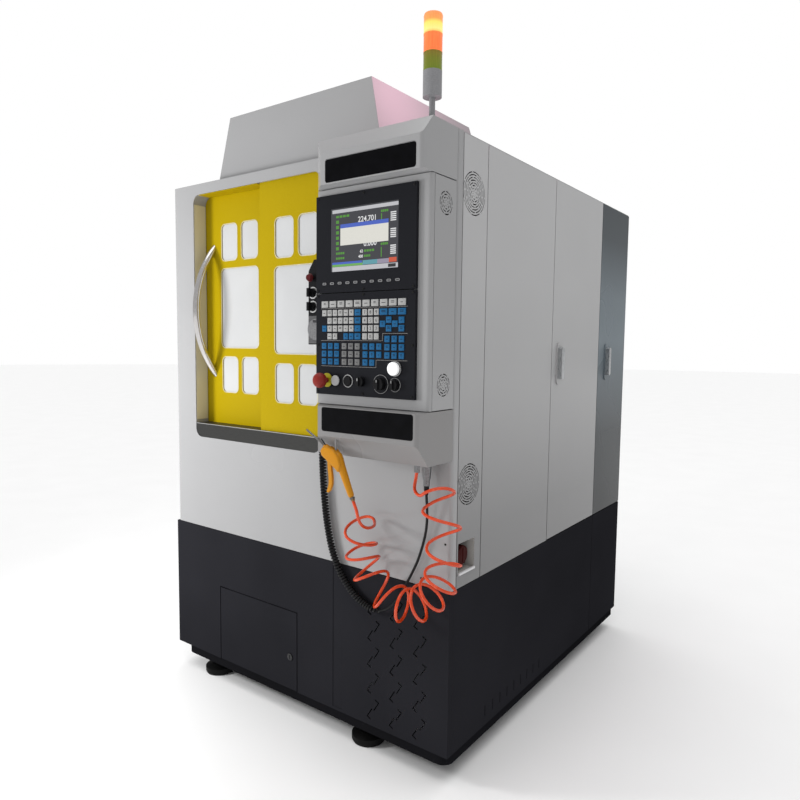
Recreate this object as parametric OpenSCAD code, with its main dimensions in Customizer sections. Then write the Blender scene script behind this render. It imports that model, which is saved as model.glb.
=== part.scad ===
// Five-axis engraving machine in a sheet-metal cabinet: a two-leaf sliding front door, an operator
// console with signal tower, a hand pendant, an air gun, and the five-axis machine inside.
// Distances in X run to the left from the right side plane and in Y to the back from the front
// plane. The finished part is moved so that its origin is the middle of its footprint.

/* [Cabinet] */
// Width of the cabinet
cab_w = 1280; // [1240:1:1400]
// Depth of the cabinet
cab_d = 1445; // [1420:1:1600]
// Height of the roof above the floor
cab_h = 1875; // [1870:1:1950]
// Height of the lower edge of the dark skirt
skirt_z = 92; // [85:1:110]
// Height of the line between dark base and white panels
split_z = 590; // [540:1:600]
// Thickness of the cabinet sheet
sheet = 3; // [2:0.5:4]
// Gap between neighbouring panels
panel_gap = 4; // [3.6:0.1:6]
// Radius of the front left upright corner
corner_left = 25; // [15:1:29]
// Radius of the front right upright corner
corner_right = 12; // [8:1:25]
// Depth of the front panel's folded side
front_return = 30; // [30:1:36]

/* [Side panels] */
// Distance from the front to the back edge of the right post panel
post_end = 170; // [165:1:180]
// Distance from the front to the front edge of the service door
door_start = 655; // [600:1:700]
// Distance from the front to the front edge of the dark rear door
rear_start = 1120; // [1050:1:1150]
// Depth of a door pan's folded edge
pan_d = 20; // [14:1:20]
// Distance of the tube frame from the outer faces
frame_in = 26; // [26:1:32]
// Distance of a hinge axis from the door's face and edge
hinge_in = 8; // [8:0.5:9]
// Radius of the hinge pins
pin_r = 3; // [2.5:0.1:3.4]
// Running clearance of pins, shafts and spindles
run = 0.05; // [0.02:0.01:0.1]
// Radius of a round vent in the post panel
vent_r = 64; // [56:1:66]
// Width of a vent slot
vent_slot = 3.2; // [2:0.1:3.6]
// Distance between the slot rings of a vent
vent_pitch = 7.4; // [7:0.1:8]
// Side of the square pocket of the main switch
pocket = 92; // [80:1:94]
// Depth of the main switch pocket
pocket_d = 50; // [45:1:55]
// Radius of the main switch knob
main_r = 28; // [22:1:32]

/* [Tube frame] */
// Width of the square tubes
tube = 40; // [30:1:44]
// Height of the underside of the plinth
plinth_z = 62; // [60:1:70]
// Inset of the plinth at the left
plinth_in = 48; // [30:1:50]
// Distance from the front to the front uprights
upright_y = 142; // [142:1:150]
// Radius of a foot pad
pad_r = 56; // [45:1:60]
// Height of a foot pad
pad_h = 30; // [20:1:34]
// Distance of the right feet from the right side
foot_right = 341; // [300:1:380]
// Distance of the left feet from the left side
foot_in = 181; // [140:1:220]
// Distance of the front feet from the front, and of the rear feet from the back
foot_y = 60; // [58:1:90]

/* [Front opening] */
// Distance of the opening from the left side
open_in = 128; // [120:1:140]
// Right edge of the opening
open_right = 505; // [495:1:515]
// Distance of the opening's lower edge below the roof
open_low_drop = 939; // [930:1:955]
// Distance of the opening's upper edge below the roof
open_top_drop = 38; // [33:1:55]
// Corner radius of the opening
open_r = 32; // [30:1:46]
// Depth of the jamb
jamb_d = 56; // [50:1:56]
// Distance of the sill below the roof
sill_drop = 887; // [881:1:891]

/* [Sliding door] */
// Distance from the front to the left leaf
leaf_y = 57; // [57:1:62]
// Thickness of a leaf
leaf_t = 22; // [18:1:26]
// Distance of the right leaf in front of the left leaf
leaf_step = 46; // [44:1:47]
// Distance of the left leaf from the left side
leaf1_in = 115; // [105:1:117]
// Width of the left leaf
leaf1_w = 390; // [386:1:394]
// Width of the right leaf
leaf2_w = 344; // [338:1:350]
// Right edge of the right leaf
leaf2_right = 456; // [446:1:466]
// Distance of the windows from the left leaf's left edge
window1_in = 101; // [97:1:103]
// Distance of the windows from the right leaf's left edge
window2_in = 73; // [68:1:80]
// Drop of the right leaf's windows below those of the left leaf
window2_drop = 17; // [10:1:19]
// Width of a large window
big_w = 203; // [190:1:204]
// Height of a large window
big_h = 292; // [270:1:294]
// Distance of the large windows' lower edge below the roof
big_drop = 600; // [585:1:605]
// Width of a small window
small_w = 86; // [76:1:90]
// Height of a small window
small_h = 132; // [120:1:134]
// Distance of the lower windows' lower edge below the roof
low_window_drop = 767; // [763:1:775]
// Distance of the upper windows' lower edge below the roof
top_window_drop = 278; // [265:1:281]
// Corner radius of the windows
window_r = 18; // [10:1:24]
// Thickness of the panes
pane_t = 4; // [3:0.5:6]
// Distance of the handle from the left leaf's left edge
handle_in = 57; // [49:1:65]
// Distance of the handle's lower end below the roof
handle_low_drop = 695; // [675:1:715]
// Distance of the handle's upper end below the roof
handle_top_drop = 233; // [215:1:275]
// Bow of the handle in front of the leaf
handle_bow = 83; // [70:1:90]
// Diameter of the handle bar
handle_d = 24; // [18:1:28]

/* [Base front] */
// Left edge of the access door
hatch_left = 1021; // [1000:1:1030]
// Right edge of the access door
hatch_right = 610; // [590:1:640]
// Upper edge of the access door
hatch_top = 376; // [340:1:390]
// Left edge of the upright groove
groove_left = 447; // [440:1:455]
// Width of the upright groove
groove_w = 40; // [30:1:45]
// Depth of the upright groove
groove_d = 1.5; // [1:0.1:1.8]
// Columns of louvres
louvre_cols = 3; // [2:1:3]
// Rows of louvres
louvre_rows = 5; // [3:1:5]
// Distance between louvre columns
louvre_dx = 88; // [75:1:95]
// Distance between louvre rows
louvre_dz = 85; // [78:1:86]
// Width of a louvre slit
louvre_slit = 5; // [3:0.5:6]
// Slits along the foot of the right skirt
skirt_slits = 9; // [6:1:12]

/* [Roof hood] */
// Height of the hood above the roof
hood_h = 230; // [190:1:260]
// Left edge of the hood's foot
hood_left = 1061; // [1040:1:1080]
// Right edge of the hood's foot
hood_right = 294; // [280:1:310]
// Front edge of the hood's foot
hood_front = 46; // [40:1:60]
// Back edge of the hood's foot
hood_back = 690; // [650:1:720]
// Lean of the hood's sides and back
hood_lean = 54; // [30:1:70]

/* [Console] */
// Width of the console
con_w = 400; // [396:1:420]
// Depth of the console's middle
mid_d = 120; // [110:1:130]
// Depth of the console's header
head_d = 165; // [155:1:175]
// Depth of the console's lower box
low_d = 174; // [165:1:178]
// Width of the bevel at the left end of header and lower box
end_bevel = 50; // [40:1:60]
// Distance of the console's underside below the roof
con_drop = 907; // [895:1:920]
// Distance of the lower box's bevel below the roof
low_break_drop = 846; // [837:1:860]
// Distance of the joint between lower box and middle below the roof
mid_drop = 760; // [755:1:762]
// Distance of the joint between middle and header below the roof
head_drop = 140; // [138:1:145]
// Distance of the start of the header's bevel below the roof
head_break_drop = 53; // [40:1:63]
// Wall of the console boxes
con_wall = 3; // [2:0.5:4]
// Radius of the console's front right corner
con_r = 12; // [8:1:20]
// Width of the shadow joints between console pieces
con_gap = 2; // [1:0.5:3]
// Width of the plate fields in header and lower box
plate_w = 312; // [300:1:316]
// Height of the plate fields
plate_h = 65; // [55:1:66]
// Depth of the plate fields
plate_in = 2; // [1:0.5:2.5]
// Distance of the plate fields from the right side
plate_right = 20; // [18:1:26]
// Radius of a round vent in the console side
side_vent_r = 37; // [30:1:40]

/* [Control panel] */
// Width of the control panel
panel_w = 357; // [350:1:358]
// Distance of the control panel from the right side
panel_right = 41; // [40:1:44]
// Distance of the keyboard's lower edge below the roof
panel_low_drop = 730; // [727:1:735]
// Distance of the joint between keyboard and display below the roof
panel_split_drop = 437; // [433:1:439]
// Distance of the display's upper edge below the roof
panel_top_drop = 160; // [153:1:163]
// Thickness of the control panel
panel_t = 10; // [8:0.5:12]
// Width of the screen
screen_w = 242; // [220:1:246]
// Height of the screen
screen_h = 177; // [160:1:180]
// Distance of the screen from the right side
screen_right = 100; // [95:1:105]
// Distance of the screen's lower edge below the roof
screen_low_drop = 377; // [370:1:385]
// Thickness of the screen glass
glass_t = 3; // [2:0.5:4]
// Width of a key
key_w = 16; // [14:0.5:17]
// Height of a key
key_h = 17; // [15:0.5:18]
// Rise of a key above the keyboard
key_up = 2; // [1:0.5:3]
// Distance of the row of buttons below the roof
button_drop = 688; // [685:1:690]
// Running clearance of the buttons and knobs
clear = 0.3; // [0.2:0.05:0.4]

/* [Signal tower] */
// Diameter of the signal tower
tower_d = 50; // [40:1:60]
// Distance of the tower from the right side
tower_x = 35; // [32:1:60]
// Distance of the tower in front of the front plane
tower_y = 75; // [60:1:85]
// Height of the tower's pole
pole_h = 62; // [40:1:90]
// Height of the tower's foot module
tower_foot_h = 66; // [50:1:80]
// Height of one lamp module
lamp_h = 46; // [40:1:60]

/* [Pendant and air gun] */
// Width of the pendant
pen_w = 80; // [74:1:80]
// Depth of the pendant
pen_d = 45; // [40:1:52]
// Height of the pendant
pen_h = 257; // [250:1:270]
// Distance of the pendant's underside below the roof
pen_drop = 585; // [575:1:585]
// Gap between pendant and console
pen_gap = 4; // [3:0.5:6]
// Radius of the pendant's handwheel
wheel_r = 32; // [24:1:34]
// Distance of the air gun in front of the front plane
gun_y = 167; // [165:1:167]
// Thickness of the air gun's trigger
trigger_t = 12; // [8:1:14]

/* [Five-axis machine] */
// Offset of the machine's middle to the left of the cabinet's middle
mach_off = 60; // [40:1:80]
// Distance of the rotary table's middle from the front
table_y = 520; // [510:1:530]
// Width of the bed
bed_w = 680; // [640:1:700]
// Distance of the bed's ways below the roof
bed_drop = 1075; // [1065:1:1095]
// Distance of the tilt axis below the roof
tilt_drop = 845; // [825:1:855]
// Radius of the tilt shafts
tilt_r = 22; // [16:1:26]
// Radius of the rotary table
table_r = 95; // [80:1:105]
// Bolt circle of the rotary table
table_pcd = 140; // [120:1:150]
// Radius of the rotary table's bolt holes
table_hole_r = 4.25; // [3:0.25:5]
// Radius of the spindle
spindle_r = 30; // [24:1:36]
// Radius of the tool bore
collet_r = 5; // [3:0.5:6]
// Length of the tool bore
collet_l = 40; // [30:1:50]

/* [Hidden] */
$fn = 48;

open_low = cab_h - open_low_drop;
open_top = cab_h - open_top_drop;
sill_z = cab_h - sill_drop;
big_z = cab_h - big_drop;
low_window_z = cab_h - low_window_drop;
top_window_z = cab_h - top_window_drop;
handle_low = cab_h - handle_low_drop;
handle_top = cab_h - handle_top_drop;
con_z = cab_h - con_drop;
low_break = cab_h - low_break_drop;
mid_z = cab_h - mid_drop;
head_z = cab_h - head_drop;
head_break = cab_h - head_break_drop;
panel_low = cab_h - panel_low_drop;
panel_split = cab_h - panel_split_drop;
panel_top = cab_h - panel_top_drop;
screen_low = cab_h - screen_low_drop;
button_z = cab_h - button_drop;
pen_z = cab_h - pen_drop;
bed_z = cab_h - bed_drop;
tilt_z = cab_h - tilt_drop;
hood_top = cab_h + hood_h;
mach_x = cab_w / 2 + mach_off;
foot_left = cab_w - foot_in;
open_left = cab_w - open_in;
leaf1_left = cab_w - leaf1_in;
leaf1_right = leaf1_left - leaf1_w;
leaf1_window = leaf1_left - window1_in;
leaf2_left = leaf2_right + leaf2_w;
leaf2_window = leaf2_left - window2_in;
handle_x = leaf1_left - handle_in;
lock_plate = 5;
lever_t = 16;
lever_reach = lock_plate + clear + lever_t;
stop_out = 50;
front_reach = mid_d + panel_t + stop_out;
x_r = (cab_w - lever_reach) / 2;
y_f = (front_reach - cab_d) / 2;
leaf2_y = leaf_y - leaf_step;
leaf_low = sill_z + clear;
track_z = cab_h - sheet - 15;
leaf_high = track_z - clear;
tongue_t = 6;
weld = 0.2;
tongue_half = (hinge_in - sheet - clear) / sqrt(2);
tongue_h = 6;
panel_y = mid_d + panel_t;
lock_h = 150;
lock_w = 32;
lock_z = (split_z + cab_h - 5) / 2;
post_x0 = front_return + panel_gap;
frame_top = cab_h - sheet;
plinth_top = skirt_z;

// Route of the air hose from the console's underside: points with the radius of its curly outline
hose_route = [[-220, -167, -115], [-211, -167, -134], [-215, -152, -157], [-237, -112, -175],
    [-260, -82, -198], [-270, -72, -243], [-268, -72, -292], [-246, -72, -340], [-200, -72, -388],
    [-145, -72, -412], [-90, -72, -416], [-35, -72, -386], [8, -72, -336], [22, -72, -278],
    [23, -72, -218], [19, -74, -158], [8, -78, -104], [-4, -80, -78], [-40, -90, -64],
    [-57, -90, -38], [-57, -90, -24]];
hose_radii = [4.5, 4.5, 8, 30, 48, 52, 52, 52, 52, 52, 52, 52, 52, 52, 52, 52, 50, 44, 14, 4.5, 4.5];
// Route of the pendant cable from the console's underside: a plain stretch from its plug, then a
// curly stretch to the pendant
cable_route = [[-64, -32, -72], [-64, -32, -96], [-66, -24, -148], [-73, -16, -198], [-85, -14, -248],
    [-106, -14, -308], [-142, -14, -378], [-184, -14, -446], [-222, -15, -478], [-262, -16, -487],
    [-312, -16, -474], [-360, -16, -444], [-402, -16, -398], [-434, -16, -338], [-456, -16, -258],
    [-470, -16, -168], [-478, -16, -68], [-480, -16, 32], [-476, -20, 132], [-464, -34, 212],
    [-450, -50, 267], [-444, -57, 300], [-444, -57, 322]];
cable_radii = [4, 4, 4, 4, 4, 4, 4, 4, 6, 12, 12, 12, 12, 12, 12, 12, 12, 12, 12, 12, 12, 12, 12];

// Moves from the measuring frame to the part's own origin
module place() {
    translate([x_r, y_f, 0]) children();
}

// Block between two corners
module block(low, high) {
    translate(low) cube(high - low);
}

// Rounded rectangle from its lower left corner
module rounded(w, h, r) {
    translate([r, 0]) square([w - 2 * r, h]);
    translate([0, r]) square([w, h - 2 * r]);
    for (x = [r, w - r], y = [r, h - r]) translate([x, y]) circle(r);
}

// Upright plate across X with round corners, from front y0 to back y1
module front_plate(left, right, z0, z1, y0, y1, r) {
    translate([-left, y1, z0]) rotate([90, 0, 0]) linear_extrude(y1 - y0) rounded(left - right, z1 - z0, r);
}

// Upright plate across Y with round corners, from x0 to x1
module side_plate(y0, y1, z0, z1, x0, x1, r) {
    translate([x0, y0, z0]) rotate([90, 0, 90]) linear_extrude(x1 - x0) rounded(y1 - y0, z1 - z0, r);
}

// Places a part on the control panel's face, with its own Z pointing out
module on_panel(x, z) {
    translate([-x, -panel_y, z]) rotate([90, 0, 0]) children();
}

// Arc slots of a round vent in the X plane, cutting through a sheet
module vent_slots(y, z, radius, arcs) {
    rings = floor((radius - vent_slot / 2) / vent_pitch);
    span = 360 / arcs;
    bridge = 5;
    translate([-2 * sheet, y, z]) rotate([90, 0, 90]) for (ring = [1:rings], arc = [0:arcs - 1]) {
        turn = arc * span + (ring % 2) * span / 2;
        web = bridge / (ring * vent_pitch) * 180 / PI;
        rotate([0, 0, turn]) rotate_extrude(angle = span - web)
            translate([ring * vent_pitch - vent_slot / 2, 0]) square([vent_slot, 4 * sheet]);
    }
}

// Fixed half of a concealed lift-off hinge: a tongue on the frame with an upright pin
module hinge_tongue(x0, y0, z, pin_y) {
    block([x0, y0, z - 6], [-hinge_in + tongue_half, pin_y + tongue_half, z]);
    translate([-hinge_in, pin_y, z]) cylinder(r = pin_r, h = 22);
}

// Moving half of the hinge: a bored knuckle that stands on the tongue, with a web to the door sheet
module hinge_knuckle(x, y, z, turn) {
    knuckle_h = 24;
    translate([x, y, z + clear]) rotate([0, 0, turn]) difference() {
        union() {
            cylinder(r = hinge_in - sheet, h = knuckle_h);
            block([0, -tongue_half, 0], [hinge_in - sheet / 2, tongue_half, knuckle_h]);
        }
        translate([0, 0, -1]) cylinder(r = pin_r + run, h = knuckle_h + 2);
    }
}

hinge_end = 110;
hinge_heights = [split_z + hinge_end, lock_z, cab_h - hinge_end];
hatch_hinges = [skirt_z + hinge_end / 3, hatch_top - hinge_end / 2];

// Swept tube through the points of a route
function unit(v) = v / norm(v);
function heading(p, i) = unit(p[min(i + 1, len(p) - 1)] - p[max(i - 1, 0)]);
function ring_points(p, r, i, n) = let (
        t = heading(p, i),
        u = unit(cross(t, [0, 1, 0])),
        v = cross(u, t)
    ) [for (k = [0:n - 1]) p[i] + r[i] * (cos(360 * k / n) * u + sin(360 * k / n) * v)];
module swept(p, r, n) {
    rings = len(p);
    points = [for (i = [0:rings - 1]) each ring_points(p, r, i, n)];
    sides = [for (i = [0:rings - 2], k = [0:n - 1])
        [i * n + k, (i + 1) * n + k, (i + 1) * n + (k + 1) % n, i * n + (k + 1) % n]];
    first = [for (k = [0:n - 1]) k];
    last = [for (k = [n - 1:-1:0]) (rings - 1) * n + k];
    polyhedron(points, concat([first], [last], sides), convexity = 10);
}

// Outline of the front panel sheet seen from above, moved inwards by i
module front_outline(i, back) {
    translate([-cab_w + corner_left, i]) square([cab_w - corner_left - corner_right, back - i]);
    translate([-cab_w + i, corner_left]) square([corner_left, back - corner_left]);
    translate([-corner_right, corner_right]) square([corner_right - i, back - corner_right]);
    intersection() {
        union() {
            translate([-cab_w + corner_left, corner_left]) circle(corner_left - i);
            translate([-corner_right, corner_right]) circle(corner_right - i);
        }
        translate([-cab_w, 0]) square([cab_w, back]);
    }
}

// Rubber pad, stud and lock nut of each levelling foot
module levelling_feet() {
    stud_r = 10;
    color("dimgray") place()
        for (x = [-foot_left, -foot_right], y = [foot_y, cab_d - foot_y]) translate([x, y, 0]) {
            cylinder(r1 = pad_r - 4, r2 = pad_r, h = 8);
            translate([0, 0, 8]) cylinder(r = pad_r, h = pad_h - 14);
            translate([0, 0, pad_h - 6]) cylinder(r1 = pad_r, r2 = pad_r / 2, h = 10);
            cylinder(r = stud_r, h = plinth_z);
            translate([0, 0, plinth_z - 12]) cylinder(r = 2 * stud_r, h = 12, $fn = 6);
        }
}

// Welded tube frame: plinth, foot rails, uprights, top ring, middle rails, door track and hinge
// tongues, each a straight bar that meets its neighbours at a narrow weld joint
module cabinet_frame() {
    left = -cab_w + frame_in + 30;
    right = -frame_in;
    rear = cab_d - frame_in;
    ring_z = frame_top - tube;
    rail_z = split_z - tube;
    track_low = open_low + 9;
    lip_top = track_z + tongue_h + clear;
    front_left = -leaf2_left - 20;
    front_right = -150;
    door_pin_y = rear_start - panel_gap / 2 - hinge_in;
    side_posts = [upright_y, door_start - tube / 2, rear_start - tube / 2, rear - tube];
    color("darkslategray") place() {
        plinth();
        for (x = [left, right - tube], y = [upright_y, rear - tube])
            block([x, y, plinth_top + weld], [x + tube, y + tube, ring_z - weld]);
        for (i = [1, 2])
            block([right - tube, side_posts[i], plinth_top + weld],
                [right, side_posts[i] + tube, ring_z - weld]);
        for (x = [left, right - tube]) block([x, upright_y, ring_z], [x + tube, rear, frame_top]);
        for (y = [upright_y, rear - tube]) {
            block([left + tube + weld, y, ring_z], [right - tube - weld, y + tube, frame_top]);
            block([left + tube + weld, y, rail_z], [right - tube - weld, y + tube, split_z]);
        }
        for (i = [0:2])
            block([right - tube, side_posts[i] + tube + weld, rail_z],
                [right, side_posts[i + 1] - weld, split_z]);
        block([left, leaf_y - 4, lip_top], [right, upright_y - weld, frame_top]);
        track_lip(left, right, leaf_y - 4, groove_y(leaf_y, -1));
        track_lip(left, right, groove_y(leaf_y, 1), upright_y - weld);
        block([front_left, leaf2_y - 4, lip_top], [front_right, leaf_y - 4 - weld, frame_top]);
        track_lip(front_left, front_right, leaf2_y - 4, groove_y(leaf2_y, -1));
        track_lip(front_left, front_right, groove_y(leaf2_y, 1), leaf_y - 4 - weld);
        block([left, jamb_d + 4, track_low], [-pocket_d - panel_gap, upright_y - weld, sill_z - sheet]);
        for (z = hinge_heights) {
            hinge_tongue(right + weld, door_pin_y - tongue_half, z, door_pin_y);
            hinge_tongue(right - tube, rear + weld, z, cab_d - hinge_in);
        }
        hatch_tongues();
    }
}

// Four bars of the plinth with round outer corners, and the two rails over the feet
module plinth() {
    bar = 60;
    plinth_r = 36;
    x0 = -cab_w + plinth_in;
    y1 = cab_d - sheet;
    for (y = [sheet, y1 - bar]) intersection() {
        translate([x0, sheet, plinth_z]) linear_extrude(plinth_top - plinth_z)
            rounded(-sheet - x0, y1 - sheet, plinth_r);
        block([x0, y, plinth_z], [0, y + bar, plinth_top]);
    }
    for (x = [x0, -sheet - bar, -foot_left - bar / 2, -foot_right - bar / 2])
        block([x, sheet + bar + weld, plinth_z], [x + bar, y1 - bar - weld, plinth_top]);
}

// Edge of a leaf's groove in the door track, and one lip of the track between two such edges
function groove_y(y, side) = y + leaf_t / 2 + side * (tongue_t / 2 + clear);
module track_lip(left, right, y0, y1) {
    block([left, y0, track_z], [right, y1, track_z + tongue_h + clear - weld]);
}

// Tongues and pins of the access door's hinges on a bar that hangs from the front rail
module hatch_tongues() {
    x = -hatch_left + panel_gap + hinge_in;
    bar_y = upright_y - 10;
    for (z = hatch_hinges) {
        block([x - tongue_half, hinge_in - tongue_half, z - 6], [x + tongue_half, bar_y - weld, z]);
        translate([x, hinge_in, z]) cylinder(r = pin_r, h = 22);
    }
    block([x - tongue_half, bar_y, hatch_hinges[0] - 6], [x + tongue_half, upright_y - weld, split_z]);
}

// One louvre: two bent slits that face each other
module louvre() {
    for (turn = [0, 180]) rotate(turn) {
        polygon([[-25, -29], [-9, -37], [-9, -37 + louvre_slit], [-25 + louvre_slit, -29 + louvre_slit / 2],
            [-2, 1], [-5, 3]]);
    }
}

// Dark front sheet of the base with the access hatch, the upright groove and the louvres
module base_front() {
    louvre_x = -101;
    louvre_z = 147;
    color("darkslategray") place() difference() {
        union() {
            block([-cab_w, 0, skirt_z], [0, sheet, split_z - panel_gap / 2]);
            for (x = [-cab_w, -sheet]) block([x, 0, skirt_z], [x + sheet, pan_d, split_z - panel_gap / 2]);
            block([-cab_w, 0, skirt_z], [0, pan_d, skirt_z + sheet]);
        }
        block([-hatch_left, -1, skirt_z - 1], [-hatch_right, pan_d + 1, hatch_top]);
        block([-groove_left, -1, skirt_z + 10], [-groove_left + groove_w, groove_d, split_z]);
        for (col = [0:louvre_cols - 1], row = [0:louvre_rows - 1])
            translate([louvre_x - col * louvre_dx, sheet + 1, louvre_z + row * louvre_dz])
                rotate([90, 0, 0]) linear_extrude(sheet + 2) louvre();
    }
}

// Dark skirt round the left, back and right of the base, with a row of slits at the right
module base_skirt() {
    slit_y = 220;
    slit_pitch = 50;
    flange = 20;
    color("darkslategray") place() difference() {
        block([-cab_w, pan_d + clear, skirt_z], [0, cab_d, split_z - panel_gap / 2]);
        block([-cab_w + sheet, pan_d - 1, skirt_z + sheet], [-sheet, cab_d - sheet, split_z + 1]);
        block([-cab_w + frame_in + 26, pan_d - 1, skirt_z - 1], [-flange, cab_d - flange, split_z]);
        for (i = [0:skirt_slits - 1])
            block([-2 * sheet, slit_y + i * slit_pitch, skirt_z + 30],
                [sheet, slit_y + i * slit_pitch + 5, skirt_z + 65]);
        block([-2 * sheet, rear_start - groove_d, skirt_z - 1], [sheet, rear_start + groove_d, split_z + 1]);
    }
}

// White front sheet with the door opening and its jamb
module front_panel() {
    color("gainsboro") place() {
        difference() {
            union() {
                translate([0, 0, split_z]) linear_extrude(cab_h - split_z) difference() {
                    front_outline(0, front_return);
                    front_outline(sheet, front_return + 1);
                }
                front_plate(open_left + sheet, open_right - sheet, open_low - sheet, open_top + sheet,
                    0, jamb_d, open_r + sheet);
            }
            front_plate(open_left, open_right, open_low, open_top, -1, jamb_d + 1, open_r);
            block([-leaf2_left - 4, leaf2_y - 4, sill_z - sheet],
                [-open_right + 2 * sheet, jamb_d + 1, open_top + 2 * sheet]);
        }
    }
}

// Stainless sill that closes the foot of the opening and carries the leaves
module sill_plate() {
    front = 1;
    color("slategray") place() {
        intersection() {
            front_plate(open_left - clear, open_right + clear, open_low + clear, open_top, front,
                front + sheet, open_r - clear);
            block([-open_left, 0, open_low], [-open_right, jamb_d, sill_z]);
        }
        block([-open_left + clear, front, sill_z - sheet],
            [-open_right - clear, leaf_y + leaf_t + 4, sill_z]);
    }
}

// Roof sheet with the tapered hood over the spindle head
module roof_hood() {
    color("gainsboro") place() difference() {
        union() {
            translate([0, 0, cab_h - sheet]) linear_extrude(sheet) front_outline(sheet, cab_d - sheet);
            hood_body(0);
        }
        hood_body(sheet);
    }
}
module hood_body(i) {
    foot_z = cab_h - sheet - (i > 0 ? 1 : 0);
    hull() {
        block([-hood_left + i, hood_front + i, foot_z], [-hood_right - i, hood_back - i, foot_z + 0.1]);
        block([-hood_left + hood_lean + i, hood_front + 12 + i, hood_top - i - 0.1],
            [-hood_right - hood_lean - i, hood_back - hood_lean - i, hood_top - i]);
    }
}

// Sheet panel with folded edges on all sides, open towards the inside
module side_pan(y0, y1, z0, z1, depth) {
    difference() {
        block([-depth, y0, z0], [0, y1, z1]);
        block([-depth - 1, y0 + sheet, z0 + sheet], [-sheet, y1 - sheet, z1 - sheet]);
    }
}

// Narrow right front panel with two round vents and the pocket of the main switch
module post_panel() {
    vent_y = 92;
    vent_z = [split_z + 299, cab_h - 157];
    z0 = pocket_z - pocket / 2;
    y0 = pocket_y - pocket / 2;
    color("gainsboro") place() difference() {
        union() {
            side_pan(post_x0, post_end - panel_gap / 2, split_z, cab_h - panel_gap, frame_in);
            block([-pocket_d, y0 - sheet, z0 - sheet],
                [-sheet / 2, y0 + pocket + sheet, z0 + pocket + sheet]);
        }
        for (z = vent_z) vent_slots(vent_y, z, vent_r, 7);
        block([-pocket_d + sheet, y0, z0], [sheet, y0 + pocket, z0 + pocket]);
        translate([-pocket_d - 1, pocket_y, pocket_z]) rotate([0, 90, 0])
            cylinder(r = 6 + run, h = sheet + 2);
    }
}
pocket_y = 86;
pocket_z = split_z + 86;

// Turning knob of the main switch, with its grip rib and shaft
module main_switch() {
    color("darkred") place() translate([-pocket_d + sheet + clear, pocket_y, pocket_z]) rotate([0, 90, 0]) {
        cylinder(r = main_r, h = 30);
        translate([-main_r + 3, -6, 30 - 1]) cube([2 * main_r - 6, 12, 12]);
        translate([0, 0, -14]) cylinder(r = 6, h = 15);
    }
}

// Fixed white panel between post and service door
module middle_panel() {
    color("gainsboro") place()
        side_pan(post_end + panel_gap / 2, door_start - panel_gap / 2, split_z, cab_h - panel_gap, frame_in);
}

// Hinged side door: sheet, three folded edges, hinge knuckles and the bored lock plate
module side_door(y0, y1, hinge_y, lock_y) {
    z0 = split_z + panel_gap / 2;
    z1 = cab_h - panel_gap;
    hinge_room = 30;
    difference() {
        union() {
            block([-sheet, y0, z0], [0, y1, z1]);
            block([-pan_d, y0, z0], [0, y0 + sheet, z1]);
            for (z = [z0, z1 - sheet]) block([-pan_d, y0, z], [0, y1 - hinge_room, z + sheet]);
            side_plate(lock_y - lock_w / 2, lock_y + lock_w / 2, lock_z - lock_h / 2, lock_z + lock_h / 2,
                -sheet / 2, lock_plate, lock_w / 2 - 1);
        }
        translate([-sheet - 1, lock_y, lever_z]) rotate([0, 90, 0])
            cylinder(r = 6 + run, h = lock_plate + sheet + 2);
    }
    for (z = hinge_heights) hinge_knuckle(-hinge_in, hinge_y, z, 0);
}
lever_z = lock_z + 50;
service_lock_y = door_start + 55;
rear_lock_y = rear_start + 85;

// White service door in the right side
module service_door() {
    y1 = rear_start - panel_gap / 2;
    color("gainsboro") place() side_door(door_start + panel_gap / 2, y1, y1 - hinge_in, service_lock_y);
}

// Dark rear door in the right side
module rear_door() {
    color("darkslategray") place()
        side_door(rear_start + panel_gap / 2, cab_d, cab_d - hinge_in, rear_lock_y);
}

// Swing lever of a door lock with its shaft and tongue
module lock_lever(y) {
    lever_w = 22;
    lever_l = 116;
    translate([0, y, lever_z]) {
        side_plate(-lever_w / 2, lever_w / 2, lever_w / 2 - lever_l, lever_w / 2, lock_plate + clear,
            lock_plate + clear + lever_t, lever_w / 2 - 1);
        translate([-pan_d - 4, 0, 0]) rotate([0, 90, 0])
            cylinder(r = 6, h = pan_d + 4 + lock_plate + clear + 1);
        block([-pan_d - 4, -30, -8], [-pan_d, 8, 8]);
    }
}
module service_lever() {
    color("silver") place() lock_lever(service_lock_y);
}
module rear_lever() {
    color("silver") place() lock_lever(rear_lock_y);
}

// Plain white panel of the left side
module left_panel() {
    color("gainsboro") place() difference() {
        block([-cab_w, post_x0, split_z], [-cab_w + frame_in + 30, cab_d - sheet, cab_h - panel_gap]);
        block([-cab_w + sheet, post_x0 + sheet, split_z + sheet],
            [-cab_w + frame_in + 31, cab_d - 2 * sheet, cab_h - panel_gap - sheet]);
    }
}

// Plain dark panel of the back
module back_panel() {
    color("darkslategray") place() {
        block([-cab_w, cab_d - sheet, split_z], [-2 * hinge_in - panel_gap - 2, cab_d, cab_h - panel_gap]);
        block([-cab_w + frame_in + 30, cab_d - frame_in, split_z + 60],
            [-frame_in - tube, cab_d - sheet, split_z + 60 + sheet]);
    }
}

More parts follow.
